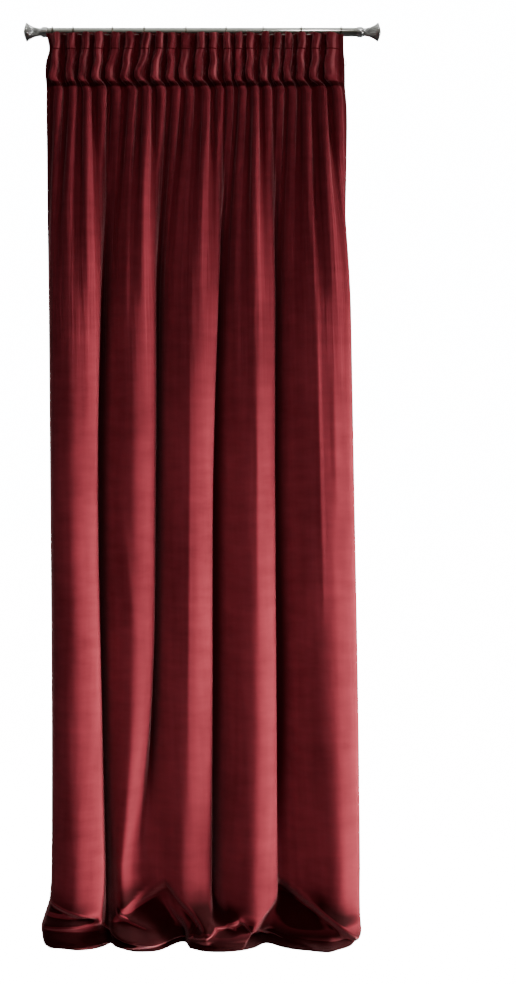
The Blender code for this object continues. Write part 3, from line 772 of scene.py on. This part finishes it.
# %% The rings
RING_DROP = ROD_RADIUS + SEAT_GAP - RING_INSIDE
RING_LOWEST = RING_DROP - RING_INSIDE - 2 * RING_WIRE
EYE_CENTRE = RING_LOWEST - EYE_RADIUS + 0.5 * EYE_WIRE


def wire_loop(name, height, radius, wire, turn, around, sides):
    """A round loop of wire at a height, with around steps along it and sides steps round the wire."""
    bpy.ops.object.select_all(action="DESELECT")
    bpy.ops.mesh.primitive_torus_add(
        major_radius=radius, minor_radius=wire, major_segments=around, minor_segments=sides,
        location=(0, 0, height), rotation=turn,
    )
    loop = bpy.context.object
    loop.name = name
    return loop


square_to_rod = (0, math.pi / 2, 0)
facing_room = (math.pi / 2, 0, 0)
first_ring = wire_loop("wire_ring", RING_DROP, RING_INSIDE + RING_WIRE, RING_WIRE, square_to_rod, 56, 12)
ring_eye = wire_loop("ring_eye", EYE_CENTRE, EYE_RADIUS, EYE_WIRE, facing_room, 28, 8)
choose(ring_eye, first_ring)
bpy.ops.object.join()
settle(first_ring)
bpy.ops.object.shade_smooth()

rings = [first_ring]
for _ in RING_PLACES[1:]:
    ring = first_ring.copy()
    ring.data = first_ring.data.copy()
    bpy.context.scene.collection.objects.link(ring)
    rings.append(ring)
for number, (ring, place) in enumerate(zip(rings, RING_PLACES), start=1):
    ring.name = f"wire_ring_{number}"
    ring.location.x = place
    settle(ring)
    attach(ring, "root")
    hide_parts(f"ring_{number}")
print(len(rings), "rings")

# %% [markdown]
# ## The hooks
#
# A curtain hook is a bent wire. It goes through the ring's eye, leans to the nearest hollow of the
# tape and lies in a pocket there. A curve through a few bends, with a round thickness, is the quickest
# way to wire, and it is made a mesh at the end.

# %% The hooks
def tape_valley(place, down):
    """Across the rod, where the tape lies furthest back beside a ring."""
    valleys, _ = pleat_places(down)
    near, _ = pleat_places(TAPE_ROWS[0])
    return valleys[np.argmin(np.abs(near - place))]


def hook_piece(name, place):
    """A bent wire from a ring's eye at a place on the rod to the tape's pocket."""
    hang = EYE_CENTRE - EYE_RADIUS + EYE_WIRE + SEAT_GAP + HOOK_WIRE
    lie = -HEADING_BACK + CLOTH_THICK / 2 + TAPE_GAP + TAPE_THICK + TAPE_CORNER + HOOK_WIRE
    high, low = HOOK_ROWS
    upper, lower = tape_valley(place, high), tape_valley(place, low)
    bends = (
        # across, back, height
        (place, 0.0050, hang - 0.0050),
        (place, 0.0042, hang - 0.0010),
        (place, 0.0018, hang + 0.0002),
        (place, -0.0018, hang + 0.0002),
        (place, -0.0045, hang - 0.0016),
        (upper, lie, CLOTH_TOP - high),
        (lower, lie, CLOTH_TOP - low),
        (lower + 0.0022, lie + 0.0010, CLOTH_TOP - low - 0.0035),
        (lower + 0.0044, lie + 0.0022, CLOTH_TOP - low),
        (upper + 0.0044, lie + 0.0022, CLOTH_TOP - low + 0.0110),
    )
    bpy.ops.object.select_all(action="DESELECT")
    bpy.ops.curve.primitive_nurbs_path_add(location=(0, 0, 0))
    wire = bpy.context.object
    wire.name = name
    wire.data.splines.clear()
    run = wire.data.splines.new("BEZIER")
    run.bezier_points.add(len(bends) - 1)
    for knot, bend in zip(run.bezier_points, bends):
        knot.co = bend
        knot.handle_left_type = knot.handle_right_type = "AUTO"
    wire.data.resolution_u = 6
    wire.data.bevel_depth = HOOK_WIRE
    wire.data.bevel_resolution = 2
    wire.data.use_fill_caps = True
    bpy.ops.object.convert(target="MESH")
    hook = settle(bpy.context.object)
    bpy.ops.object.shade_smooth()
    return hook


hooks = []
for number, place in enumerate(RING_PLACES, start=1):
    hook = hook_piece(f"wire_hook_{number}", place)
    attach(hook, "root")
    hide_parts(f"hook_{number}")
    hooks.append(hook)
print(len(hooks), "hooks of", len(hooks[0].data.polygons), "faces")

# %% [markdown]

# %% [markdown]
# ## Finishes
#
# Two effects serve more than one material, so each is a node group with named inputs: threads,
# the woven ground of the velvet and of the tape, and blotches, the slow change that no real
# surface is without. The short functions after them each add one step to a material's nodes.

# %% Two node groups
def node(tree, kind, settings=None, values=None):
    """A node with its settings, and each input linked to a socket or given a plain value."""
    made = tree.nodes.new(kind)
    for key, value in (settings or {}).items():
        setattr(made, key, value)
    for key, value in (values or {}).items():
        if isinstance(value, bpy.types.NodeSocket):
            tree.links.new(value, made.inputs[key])
        else:
            made.inputs[key].default_value = value
    return made


def worked(tree, operation, *values, clamped=False):
    """The result of a maths node, from sockets and plain numbers."""
    settings = {"operation": operation, "use_clamp": clamped}
    return node(tree, "ShaderNodeMath", settings, dict(enumerate(values))).outputs[0]


def group(name, inputs, outputs):
    """A node group with inputs and outputs, given as {name: kind}, and nothing between them."""
    made = bpy.data.node_groups.new(name, "ShaderNodeTree")
    for way, sockets in (("INPUT", inputs), ("OUTPUT", outputs)):
        for label, kind in sockets.items():
            made.interface.new_socket(label, in_out=way, socket_type="NodeSocket" + kind)
    return made, made.nodes.new("NodeGroupInput").outputs, made.nodes.new("NodeGroupOutput").inputs


def threads_group():
    """Warp and weft as two crossed waves, turned in radians: a height, and the thread tops."""
    inputs = {"Place": "Vector", "Turn per metre": "Float"}
    tree, given, result = group("threads", inputs, {"Height": "Float", "Tops": "Float"})
    apart = node(tree, "ShaderNodeSeparateXYZ", values={0: given["Place"]}).outputs
    turns = [worked(tree, "MULTIPLY", apart[axis], given["Turn per metre"]) for axis in "XY"]
    crossed = worked(tree, "MULTIPLY", *(worked(tree, "SINE", turn) for turn in turns))
    limits = {"Value": crossed, "From Min": -1.0, "From Max": 1.0}
    lifted = node(tree, "ShaderNodeMapRange", values=limits).outputs[0]
    tree.links.new(lifted, result["Height"])
    tree.links.new(worked(tree, "POWER", lifted, 2.0), result["Tops"])
    return tree


def blotches_group():
    """Slow uneven patches, stretched by the scale given for each direction."""
    inputs = {"Place": "Vector", "Stretch": "Vector", "Detail": "Float", "Contrast": "Float"}
    tree, given, result = group("blotches", inputs, {"Mask": "Float"})
    sides = {0: given["Place"], 1: given["Stretch"]}
    stretched = node(tree, "ShaderNodeVectorMath", {"operation": "MULTIPLY"}, sides).outputs[0]
    values = {"Vector": stretched, "Detail": given["Detail"], "Scale": 1.0, "Roughness": 0.55}
    noise = node(tree, "ShaderNodeTexNoise", values=values).outputs["Fac"]
    strong = worked(tree, "MULTIPLY", worked(tree, "SUBTRACT", noise, 0.5), given["Contrast"])
    tree.links.new(worked(tree, "MULTIPLY_ADD", strong, 4.0, 0.5, clamped=True), result["Mask"])
    return tree


threads = threads_group()
blotches = blotches_group()
print("groups:", [made.name for made in (threads, blotches)])


# %% Steps that the materials share
def new_material(name, **values):
    """A material, its nodes, and its shader with the values given."""
    made = bpy.data.materials.new(name)
    made.use_nodes = True
    shader = made.node_tree.nodes["Principled BSDF"]
    for label, value in values.items():
        shader.inputs[label.replace("_", " ")].default_value = value
    return made, made.node_tree, shader


def placed(tree, source):
    """The sheet's own map, or the object's coordinates."""
    if source == "cloth":
        return node(tree, "ShaderNodeUVMap", {"uv_map": "cloth"}).outputs["UV"]
    return node(tree, "ShaderNodeTexCoord").outputs["Object"]


def across_and_down(tree, place):
    """The distances of the cloth's map: across it, and down from its top edge."""
    apart = node(tree, "ShaderNodeSeparateXYZ", values={0: place}).outputs
    return apart["X"], worked(tree, "MULTIPLY", apart["Y"], -1.0)


def patches(tree, place, stretch, detail, contrast):
    """A mask of blotches, with about so many to a metre in each direction."""
    values = {"Place": place, "Stretch": stretch, "Detail": detail, "Contrast": contrast}
    return node(tree, "ShaderNodeGroup", {"node_tree": blotches}, values).outputs["Mask"]


def woven(tree, place, turn):
    """The height and the thread tops of a weave."""
    values = {"Place": place, "Turn per metre": turn}
    weave = node(tree, "ShaderNodeGroup", {"node_tree": threads}, values).outputs
    return weave["Height"], weave["Tops"]


def average(tree, first, second, share):
    """A mask mixed from two, with this share of the second."""
    values = {0: share, 2: first, 3: second}
    return node(tree, "ShaderNodeMix", {"data_type": "FLOAT"}, values).outputs[0]


def coloured(tree, mask, low, high):
    """The colour low where the mask is 0, which gives way to high where it is 1."""
    values = {0: mask, 6: low, 7: high}
    return node(tree, "ShaderNodeMix", {"data_type": "RGBA"}, values).outputs[2]


def rising(tree, value, start, end):
    """0 at start and 1 at end, smooth between them."""
    values = {"Value": value, "From Min": start, "From Max": end}
    return node(tree, "ShaderNodeMapRange", {"interpolation_type": "SMOOTHSTEP"}, values).outputs[0]


def band(tree, value, centre, half):
    """1 within half of centre, falling to 0 at twice that."""
    away = worked(tree, "ABSOLUTE", worked(tree, "SUBTRACT", value, centre))
    limits = {"Value": away, "From Min": half, "From Max": 2 * half, "To Min": 1, "To Max": 0}
    return node(tree, "ShaderNodeMapRange", values=limits).outputs[0]


def times(tree, first, second):
    """1 only where both masks are."""
    return worked(tree, "MULTIPLY", first, second)


def largest(tree, masks):
    """The greatest of several masks."""
    result, *others = masks
    for other in others:
        result = worked(tree, "MAXIMUM", result, other)
    return result


def bumped(tree, shader, height, strength, distance, inwards=False):
    """Add a height to the shader's normal, over any that is there already."""
    values = {"Height": height, "Strength": strength, "Distance": distance}
    if shader.inputs["Normal"].is_linked:
        values["Normal"] = shader.inputs["Normal"].links[0].from_socket
    bump = node(tree, "ShaderNodeBump", {"invert": inwards}, values)
    tree.links.new(bump.outputs["Normal"], shader.inputs["Normal"])


# %% [markdown]
# ## Velvet
#
# Velvet is a short standing pile on a woven ground. Seen along the pile it is nearly black, and at
# a slant it is bright, so its sheen matters more than its colour. The sheen is the shader's own.
# The pile also lies in patches where hands and folds have pressed it: those, short sideways crush marks
# and long strokes are mixed into the colour. Then shade and highlights are painted into the colour, part
# by part. The heading gets painted shade between its pleats and painted highlights on some pleat edges and
# at its left corner, two rows of stitches cross it with a painted shadow below the lower one, the hollows
# between the folds get painted shade, and at the foot the slope over the floor and the hem get painted
# shade beside painted highlights on the edges that roll under.

# %% The velvet's colours and places
VELVET_DEEP = (0.100, 0.0095, 0.0145, 1)
VELVET_LIT = (0.250, 0.0290, 0.0420, 1)
# Painted shade at the foot, on the slope over the floor and on the hem.
VELVET_FOOT_SHADE = (0.018, 0.0006, 0.0012, 1)
# Painted shade in the hollows between the folds and below the lower stitch row.
VELVET_SHADED = (0.040, 0.0016, 0.0034, 1)
# Painted shade between the pleats; the dark stitch rows use this colour too.
VELVET_VALLEY_SHADE_AND_SEAMS = (0.076, 0.0042, 0.0075, 1)
# Painted highlights on some pleat edges and at the left corner of the heading.
VELVET_EDGE_HIGHLIGHT = (0.400, 0.0800, 0.0950, 1)
# Painted highlights on the edges that roll under at the foot.
VELVET_ROLL_HIGHLIGHT = (0.300, 0.0480, 0.0580, 1)
SHEEN_TINT = (1.0, 0.42, 0.44, 1)
BACK_DEEP = (0.060, 0.006, 0.010, 1)
BACK_LIT = (0.135, 0.014, 0.022, 1)

MARKS = {
    # patches to a metre in each direction, detail, contrast
    "patch": ((6.0, 3.0, 1.0), 4.0, 0.60),
    "stroke": ((38.0, 2.6, 1.0), 3.0, 0.50),
    "crush": ((11.0, 34.0, 1.0), 4.0, 0.55),
    # Patches that pick which pleat edges get a painted highlight.
    "highlit pleat edges": ((16.0, 9.0, 1.0), 0.0, 1.60),
    "gathers": ((62.0, 1.7, 1.0), 2.0, 0.90),
    "puckers": ((95.0, 30.0, 1.0), 2.0, 1.00),
    "pile": ((900.0, 900.0, 1.0), 2.0, 0.60),
    "back": ((8.0, 5.0, 1.0), 3.0, 0.50),
}
STROKE_SHARE = 0.40
CRUSH_SHARE = 0.30
ZONES = {
    # metres down the cloth: where a mark isn't there yet, and where it is full
    "heading": (0.142, 0.132),
    # Where the painted shade between the pleats fades out below the heading.
    "valleys": (1.10, -0.10),
    # The next two place painted highlights: on the pleat edges and at the left corner.
    "highlit pleat edges": (0.137, 0.116),
    "corner": (0.056, 0.026),
    # Where the painted shade in the hollows begins and is full.
    "hollows": (0.34, 0.85),
    # The next two place painted shade at the foot: on the slope over the floor and on the hem.
    "foot": (2.32, 2.40),
    "hem": (2.47, 2.56),
    "gathers": (1.25, 0.12),
    "puckers": (0.155, 0.125),
}
HEIGHTS = {
    # strength, distance
    "gathers": (0.60, 0.0050),
    "puckers": (0.55, 0.0040),
    "seams": (0.50, 0.0012),
    "pile": (0.40, 0.0008),
    "back": (0.30, 0.0003),
}
# A band is its centre and half its width, and the other pairs say where a mark begins and is full.
# On the pleats' wave, -1 is a crest and 1 the valley between two. A face that looks up has 1.
# The next three place painted shade in the pleats' valleys, and painted highlights on their edges and at
# the left corner.
WAVE_VALLEY = (-0.20, 0.70)
WAVE_EDGE_BAND = (-0.62, 0.16)
CORNER_BAND = (0.030, 0.010)
STITCH_ROWS = (0.043, 0.137)
SEAM_HALF = 0.0011
SEAM_SHADOW_BAND = (STITCH_ROWS[-1] + 0.006, 0.004)
# How far back the painted shade in the hollows begins and is full.
HOLLOW_DEPTH = (-0.044, -0.006)
# At the foot, faces that look up get painted shade and faces that look down get painted highlights.
FACES_UP = (0.03, 0.42)
FACES_DOWN = (-0.28, -0.76)
BACK_WEAVE = 9000.0
print(len(MARKS), "kinds of mark in", len(ZONES), "zones")


# %% The velvet's marks
def lay_of_pile(tree, place):
    """How the pile lies: patches, long strokes and crush marks."""
    patch, stroke, crush = (patches(tree, place, *MARKS[kind]) for kind in ("patch", "stroke", "crush"))
    return average(tree, average(tree, patch, stroke, STROKE_SHARE), crush, CRUSH_SHARE)


def pleat_wave(tree, across):
    """-1 on each pleat's crest and 1 in the valley between two."""
    turn = 2 * math.pi * PLEAT_COUNT / (CLOTH_WIDTH - SIDE_HEM)
    return worked(tree, "COSINE", worked(tree, "MULTIPLY_ADD", across, turn, -SIDE_HEM * turn))


def heading_shade_and_highlights(tree, colour, place, across, down):
    """Painted shade between the pleats, and painted highlights on some of their edges and at the left
    corner.
    """
    wave = pleat_wave(tree, across)
    heading, fading = (rising(tree, down, *ZONES[zone]) for zone in ("heading", "valleys"))
    valleys = times(tree, rising(tree, wave, *WAVE_VALLEY), largest(tree, [heading, fading]))
    colour = coloured(tree, valleys, colour, VELVET_VALLEY_SHADE_AND_SEAMS)
    edges = times(tree, band(tree, wave, *WAVE_EDGE_BAND), patches(tree, place, *MARKS["highlit pleat edges"]))
    tips = times(tree, edges, rising(tree, down, *ZONES["highlit pleat edges"]))
    corner = times(tree, band(tree, across, *CORNER_BAND), rising(tree, down, *ZONES["corner"]))
    return coloured(tree, largest(tree, [times(tree, tips, heading), corner]), colour, VELVET_EDGE_HIGHLIGHT)


def stitch_marks(tree, colour, down, seams):
    """The rows of stitches, and the shadow below the lower one."""
    colour = coloured(tree, seams, colour, VELVET_VALLEY_SHADE_AND_SEAMS)
    return coloured(tree, band(tree, down, *SEAM_SHADOW_BAND), colour, VELVET_SHADED)


def hollow_shade(tree, colour, down):
    """Painted shade in the hollows between the large folds, below the heading."""
    depth = node(tree, "ShaderNodeSeparateXYZ", values={0: placed(tree, "object")}).outputs["Y"]
    hollows = times(tree, rising(tree, depth, *HOLLOW_DEPTH), rising(tree, down, *ZONES["hollows"]))
    return coloured(tree, hollows, colour, VELVET_SHADED)


def foot_shade_and_highlights(tree, colour, down):
    """Painted shade on the slope over the floor and on the hem, and painted highlights on the edges that
    roll under.
    """
    upward = node(tree, "ShaderNodeAttribute", {"attribute_name": "upward"}).outputs["Fac"]
    foot, hem = (rising(tree, down, *ZONES[zone]) for zone in ("foot", "hem"))
    sloping = times(tree, rising(tree, upward, *FACES_UP), foot)
    colour = coloured(tree, largest(tree, [sloping, hem]), colour, VELVET_FOOT_SHADE)
    rolled_edge_highlights = times(tree, rising(tree, upward, *FACES_DOWN), foot)
    return coloured(tree, times(tree, rolled_edge_highlights, rolled_edge_highlights), colour, VELVET_ROLL_HIGHLIGHT)


def velvet_heights(tree, shader, place, down, seams):
    """Gathers below the heading and puckers in it, the rows of stitches, and the pile itself."""
    for kind in ("gathers", "puckers"):
        height = times(tree, patches(tree, place, *MARKS[kind]), rising(tree, down, *ZONES[kind]))
        bumped(tree, shader, height, *HEIGHTS[kind])
    bumped(tree, shader, seams, *HEIGHTS["seams"], inwards=True)
    bumped(tree, shader, patches(tree, place, *MARKS["pile"]), *HEIGHTS["pile"])


# %% The velvet and its back
def velvet_material():
    made, tree, shader = new_material(
        "velvet_pile", Roughness=0.85, Sheen_Weight=0.42, Sheen_Roughness=0.30, Sheen_Tint=SHEEN_TINT,
        Specular_IOR_Level=0.08,
    )
    place = placed(tree, "cloth")
    across, down = across_and_down(tree, place)
    seams = largest(tree, [band(tree, down, row, SEAM_HALF) for row in STITCH_ROWS])
    colour = coloured(tree, lay_of_pile(tree, place), VELVET_DEEP, VELVET_LIT)
    colour = heading_shade_and_highlights(tree, colour, place, across, down)
    colour = stitch_marks(tree, colour, down, seams)
    colour = hollow_shade(tree, colour, down)
    tree.links.new(foot_shade_and_highlights(tree, colour, down), shader.inputs["Base Color"])
    velvet_heights(tree, shader, place, down, seams)
    return made


def velvet_back_material():
    made, tree, shader = new_material("velvet_back", Roughness=0.9, Sheen_Weight=0.2, Sheen_Roughness=0.5)
    place = placed(tree, "cloth")
    height, tops = woven(tree, place, BACK_WEAVE)
    mask = average(tree, tops, patches(tree, place, *MARKS["back"]), 0.5)
    tree.links.new(coloured(tree, mask, BACK_DEEP, BACK_LIT), shader.inputs["Base Color"])
    bumped(tree, shader, height, *HEIGHTS["back"])
    return made


for finish in (velvet_material(), velvet_back_material()):
    velvet_panel.data.materials.append(finish)
    print(finish.name, len(finish.node_tree.nodes), "nodes")


# %% [markdown]
# ## Tape
#
# Gathering tape is a stiff, off-white ribbon with three draw-cords along it and a row of stitches
# near each edge. They stand up by less than a millimetre, so they are drawn as height in the
# material, by the distance down the tape.

# %% The tape's finish
TAPE_CORDS = (0.048, 0.0795, 0.111)
TAPE_STITCHES = (0.0445, 0.1145)
CORD_HALF = 0.0010
STITCH_HALF = 0.0005
TAPE_WEAVE = 5200.0
TAPE_DEEP = (0.52, 0.49, 0.44, 1)
TAPE_LIT = (0.80, 0.78, 0.73, 1)


def tape_material():
    made, tree, shader = new_material("tape_ribbon", Roughness=0.85, Sheen_Weight=0.15)
    place = placed(tree, "cloth")
    _, down = across_and_down(tree, place)
    height, tops = woven(tree, place, TAPE_WEAVE)
    cords = [band(tree, down, row, CORD_HALF) for row in TAPE_CORDS]
    stitches = [band(tree, down, row, STITCH_HALF) for row in TAPE_STITCHES]
    mask = average(tree, tops, patches(tree, place, (20.0, 20.0, 1.0), 3.0, 0.5), 0.6)
    tree.links.new(coloured(tree, mask, TAPE_DEEP, TAPE_LIT), shader.inputs["Base Color"])
    bumped(tree, shader, average(tree, height, largest(tree, cords + stitches), 0.8), 0.6, 0.0010)
    return made


# The tape's two sides are alike, so both of its materials are the same ribbon.
tape_ribbon = tape_material()
gathering_tape.data.materials.append(tape_ribbon)
gathering_tape.data.materials.append(tape_ribbon)
print(tape_ribbon.name, len(tape_ribbon.node_tree.nodes), "nodes")


# %% [markdown]
# ## Metals
#
# The rod is satin steel, and the end pieces, rings and hooks are plated wire and castings. What
# makes metal look real is that its gloss is never quite even: fine wipe marks along the rod, and
# slow clouds of dulling.

# %% The metals' finish
METALS = {
    # colour, duller colour, roughest, smoothest, wipe marks to a metre in each direction
    "satin_steel": ((0.60, 0.60, 0.57, 1), (0.48, 0.48, 0.45, 1), 0.22, 0.12, (60.0, 900.0, 900.0)),
    "plated_finial": ((0.96, 0.96, 0.97, 1), (0.78, 0.78, 0.80, 1), 0.27, 0.12, (200.0, 400.0, 400.0)),
    "bright_wire": ((0.30, 0.26, 0.20, 1), (0.18, 0.15, 0.12, 1), 0.24, 0.10, (600.0, 600.0, 600.0)),
}


def metal_material(name, colour, dull, roughest, smoothest, stretch):
    made, tree, shader = new_material(name, Metallic=1.0)
    place = placed(tree, "object")
    marks = patches(tree, place, stretch, 3.0, 0.5)
    clouds = patches(tree, place, (30.0, 30.0, 30.0), 3.0, 0.5)
    tree.links.new(coloured(tree, clouds, colour, dull), shader.inputs["Base Color"])
    uneven = average(tree, marks, clouds, 0.5)
    limits = {"Value": uneven, "To Min": smoothest, "To Max": roughest}
    gloss = node(tree, "ShaderNodeMapRange", values=limits).outputs[0]
    tree.links.new(gloss, shader.inputs["Roughness"])
    bumped(tree, shader, marks, 0.05, 0.0002)
    return made


satin_steel, plated_finial, bright_wire = (metal_material(name, *METALS[name]) for name in METALS)
rod_tube.data.materials.append(satin_steel)
for finial in (left_finial, right_finial):
    finial.data.materials.append(plated_finial)
for wire in rings + hooks:
    wire.data.materials.append(bright_wire)
print("metals:", list(METALS))

# %% [markdown]
# ## Floor, light and camera
#
# Velvet shows its folds when the main light comes from one side. A wide light low on the right
# catches the crests. Three weaker ones at the front keep the faces from going black, a small one
# picks out the rod, and one behind shows the tape. The floor and the sky are white where the
# camera sees them, but give little back to the cloth, or the folds would fade. Metal mirrors a
# room of its own, pale above and dark below, because it has no colour but what it reflects.

# %% The floor
FLOOR_SIZE = 40
FLOOR_PALE = ((0.84, 0.84, 0.84, 1), (0.88, 0.88, 0.88, 1))
FLOOR_GIVES = (0.10, 0.10, 0.10, 1)
FLOOR_GLOW = 16.0
WHITE = (1, 1, 1, 1)
BLACK = (0, 0, 0, 1)


def floor_material():
    made, tree, shader = new_material("pale_floor", Roughness=0.95, Emission_Strength=FLOOR_GLOW)
    mask = patches(tree, placed(tree, "object"), (1.5, 1.5, 1.5), 3.0, 0.2)
    seen = node(tree, "ShaderNodeLightPath").outputs["Is Camera Ray"]
    layers = {0: 1.0, 6: coloured(tree, mask, *FLOOR_PALE), 7: coloured(tree, seen, FLOOR_GIVES, WHITE)}
    dimmed = node(tree, "ShaderNodeMix", {"data_type": "RGBA", "blend_type": "MULTIPLY"}, layers)
    tree.links.new(dimmed.outputs[2], shader.inputs["Base Color"])
    tree.links.new(coloured(tree, seen, BLACK, WHITE), shader.inputs["Emission Color"])
    return made


bpy.ops.object.select_all(action="DESELECT")
bpy.ops.mesh.primitive_plane_add(size=FLOOR_SIZE, location=(0, 0, FLOOR))
floor = bpy.context.object
floor.name = "floor"
floor.data.materials.append(floor_material())
print("floor at", floor.location.z)

# %% The lights
MIRRORED_LIGHTS = ("key", "top")
LIGHTS = (
    # name, place, aimed at, width, spread, power, colour
    ("key", (4.4, -0.84, -1.75), (0.0, 0.0, -1.86), 1.7, 40, 84, (1.0, 0.97, 0.95)),
    ("front", (1.2, -4.3, -0.3), (0.0, 0.0, -2.0), 1.5, 52, 8, (1.0, 0.98, 0.97)),
    ("left", (-2.7, -3.5, -0.7), (0.0, 0.0, -1.9), 1.5, 60, 2, (1.0, 0.97, 0.97)),
    ("wide", (0.4, -4.4, -0.9), (0.0, 0.0, -1.2), 1.8, 180, 22, (1.0, 0.98, 0.97)),
    ("top", (0.9, -1.5, 1.1), (0.0, 0.0, -0.08), 0.4, 34, 0.5, (1.0, 0.98, 0.96)),
    ("back", (-1.6, 4.2, -0.6), (0.0, 0.0, -1.3), 2.0, 70, 40, (1.0, 1.0, 1.0)),
)
for name, place, aim, width, spread, power, colour in LIGHTS:
    lamp = bpy.data.lights.new(name, "AREA")
    lamp.size = width
    lamp.spread = math.radians(spread)
    lamp.energy = power
    lamp.color = colour
    stand = bpy.data.objects.new(name, lamp)
    bpy.context.scene.collection.objects.link(stand)
    stand.location = place
    stand.visible_glossy = name in MIRRORED_LIGHTS
    stand.rotation_euler = (Vector(aim) - Vector(place)).to_track_quat("-Z", "Y").to_euler()
print(len(LIGHTS), "lights")

# %% The sky
SKY = (0.93, 0.94, 0.95, 1)
SKY_SEEN = 17.0
SKY_GIVES = 0.05
ROOM_BELOW = (0.20, 0.19, 0.165, 1)
ROOM_ABOVE = (0.97, 1.0, 0.94, 1)
ROOM_TURNS_PALE = (0.35, 0.95)
ROOM_MIRRORED = 0.85

world = bpy.data.worlds.new("room")
bpy.context.scene.world = world
world.use_nodes = True
room = world.node_tree
white = room.nodes["Background"]
white.inputs["Color"].default_value = SKY
white.inputs["Strength"].default_value = SKY_SEEN
dim = node(room, "ShaderNodeBackground", values={"Color": SKY, "Strength": SKY_GIVES})
towards = node(room, "ShaderNodeTexCoord").outputs["Generated"]
upwards = node(room, "ShaderNodeSeparateXYZ", values={0: towards}).outputs["Z"]
walls = coloured(room, rising(room, upwards, *ROOM_TURNS_PALE), ROOM_BELOW, ROOM_ABOVE)
mirrored = node(room, "ShaderNodeBackground", values={"Color": walls, "Strength": ROOM_MIRRORED})
ray = node(room, "ShaderNodeLightPath").outputs
sides = {0: ray["Is Glossy Ray"], 1: dim.outputs[0], 2: mirrored.outputs[0]}
unseen = node(room, "ShaderNodeMixShader", values=sides)
sides = {0: ray["Is Camera Ray"], 1: unseen.outputs[0], 2: white.outputs[0]}
either = node(room, "ShaderNodeMixShader", values=sides)
room.links.new(either.outputs[0], room.nodes["World Output"].inputs["Surface"])
print("sky:", len(room.nodes), "nodes")

# %% The camera
IMAGE = (516, 984)
METRES_PER_PIXEL = 0.00285
ROD_MIDDLE_PIXEL = (202.25, 32.2)
EYE_DISTANCE = 4.6
EYE_HEIGHT = 1.42

lens = bpy.data.cameras.new("camera")
camera = bpy.data.objects.new("camera", lens)
bpy.context.scene.collection.objects.link(camera)
bpy.context.scene.camera = camera
camera.location = (0, -EYE_DISTANCE, FLOOR + EYE_HEIGHT)
camera.rotation_euler = (math.pi / 2, 0, 0)
lens.sensor_fit = "VERTICAL"
lens.sensor_height = 36
view_height = IMAGE[1] * METRES_PER_PIXEL
lens.lens = lens.sensor_height * EYE_DISTANCE / view_height
centre_across = (IMAGE[0] / 2 - ROD_MIDDLE_PIXEL[0]) * METRES_PER_PIXEL
centre_height = (ROD_MIDDLE_PIXEL[1] - IMAGE[1] / 2) * METRES_PER_PIXEL
lens.shift_x = centre_across / view_height
lens.shift_y = (centre_height - camera.location.z) / view_height
print("lens", round(lens.lens, 1), "shift", round(lens.shift_x, 3), round(lens.shift_y, 3))
